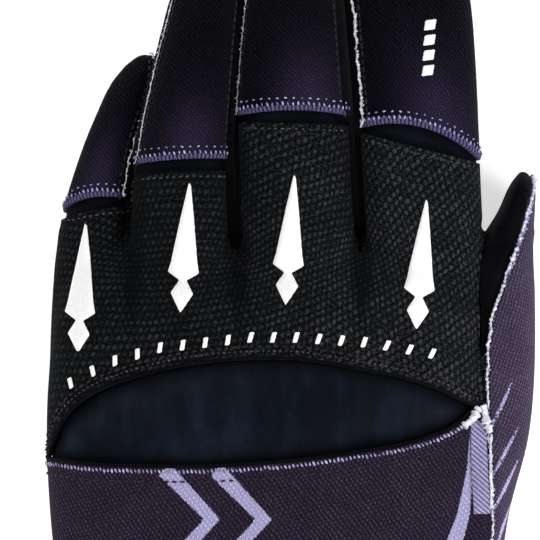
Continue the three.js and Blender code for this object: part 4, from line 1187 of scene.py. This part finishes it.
# A finger's ridge: whether it is at the left, its lift, girth, seed and waver. Then its loose threads' step
# and width.
RIDGES = {"index": (True, 0.2, 0.36, 22, 0.3, 1.0, 0.7), "middle": (True, 0.1, 0.2, 23, 0.18, 1.3, 0.5),
          "ring": (True, 0.1, 0.17, 24, 0.18, 1.5, 0.4), "little": (False, 0.1, 0.17, 25, 0.18, 1.5, 0.4)}
overlocked = []
for f, (left, lift, girth, seed, waver, step, width) in RIDGES.items():
    line = side_seam(f, left)
    overlocked.append(overlock(line, 0.1, lift, girth, seed, waver))
    white_rows.append(frayed(line, 0.2, step, width, 22, (0.6, 0.8, 0.8)))
ridges("finger_seam_ridges", overlocked, white_thread, "printed_knit")
dark_rows.append(row(lower, 3.4, 1.9, 0.15, seed=15))
upper = seam_of(knuckle_sheet, 1)
grey_rows.append(row(upper, 1.5, 1.3, 0.35, size=(0.55, 0.8, 0.8), seed=16))
for f in FINGERS:
    own = np.abs(knuckle_sheet.points[:, 0] - along(FORM[f], knuckle_sheet.points[:, 1])[:, 0]) < 15
    rim = edge_of(knuckle_sheet)
    rim = rim[((knuckle_sheet.keeps[2] == 0) & own)[rim].all(1)]
    line = knuckle_sheet.points[np.unique(rim)]
    line = line[np.argsort(line[:, 0])][1:-1]
    if len(line) > 8:
        middle, _, half = along(FORM[f], line[:, 1])[:, :3].mean(0)
        reach = half * 0.86
        low, high = max(line[0, 0] + 1, middle - reach), min(line[-1, 0] - 1, middle + reach)
        smooth = np.array([[x, *[np.interp(x, line[:, 0], line[:, k]) for k in (1, 2)]]
                           for x in np.linspace(low, high, 30)])
        grey_rows.append(row(smooth[::-1], 1.3, 1.6, 0.15, size=(0.7, 0.7, 0.7), seed=18))
dark_rows.append(row(upper, 2.6, 1.9, 0.25, seed=17))
dark_rows.append(row(seam_of(back_sheet, 2), 1.3, 1.9, 0.15, seed=19))
dark_rows.append(row(seam_of(palm_sheet, 3), 1.3, 1.9, 0.1, seed=20))
piping = [overlock(line, -0.1, -0.05, 0.42, seed, 0.03, 0) for line, seed in ((lower, 41), (upper, 42))]
ridges("edge_piping_black", piping, palm_suede, "palm_suede")
stitches("hem_stitches_lilac", hem_rows, 1.15, 0.5, 0.25, 3, lilac_thread, "printed_knit")
stitches("seam_threads_white", white_rows, 1.3, 0.36, 0.35, 4, white_thread, "printed_knit")
stitches("mesh_stitches_grey", grey_rows, 1.2, 0.5, 0.25, 5, grey_thread, "knuckle_mesh")
stitches("seam_stitches_dark", dark_rows, 1.2, 0.5, 0.2, 6, dark_thread, "palm_suede")
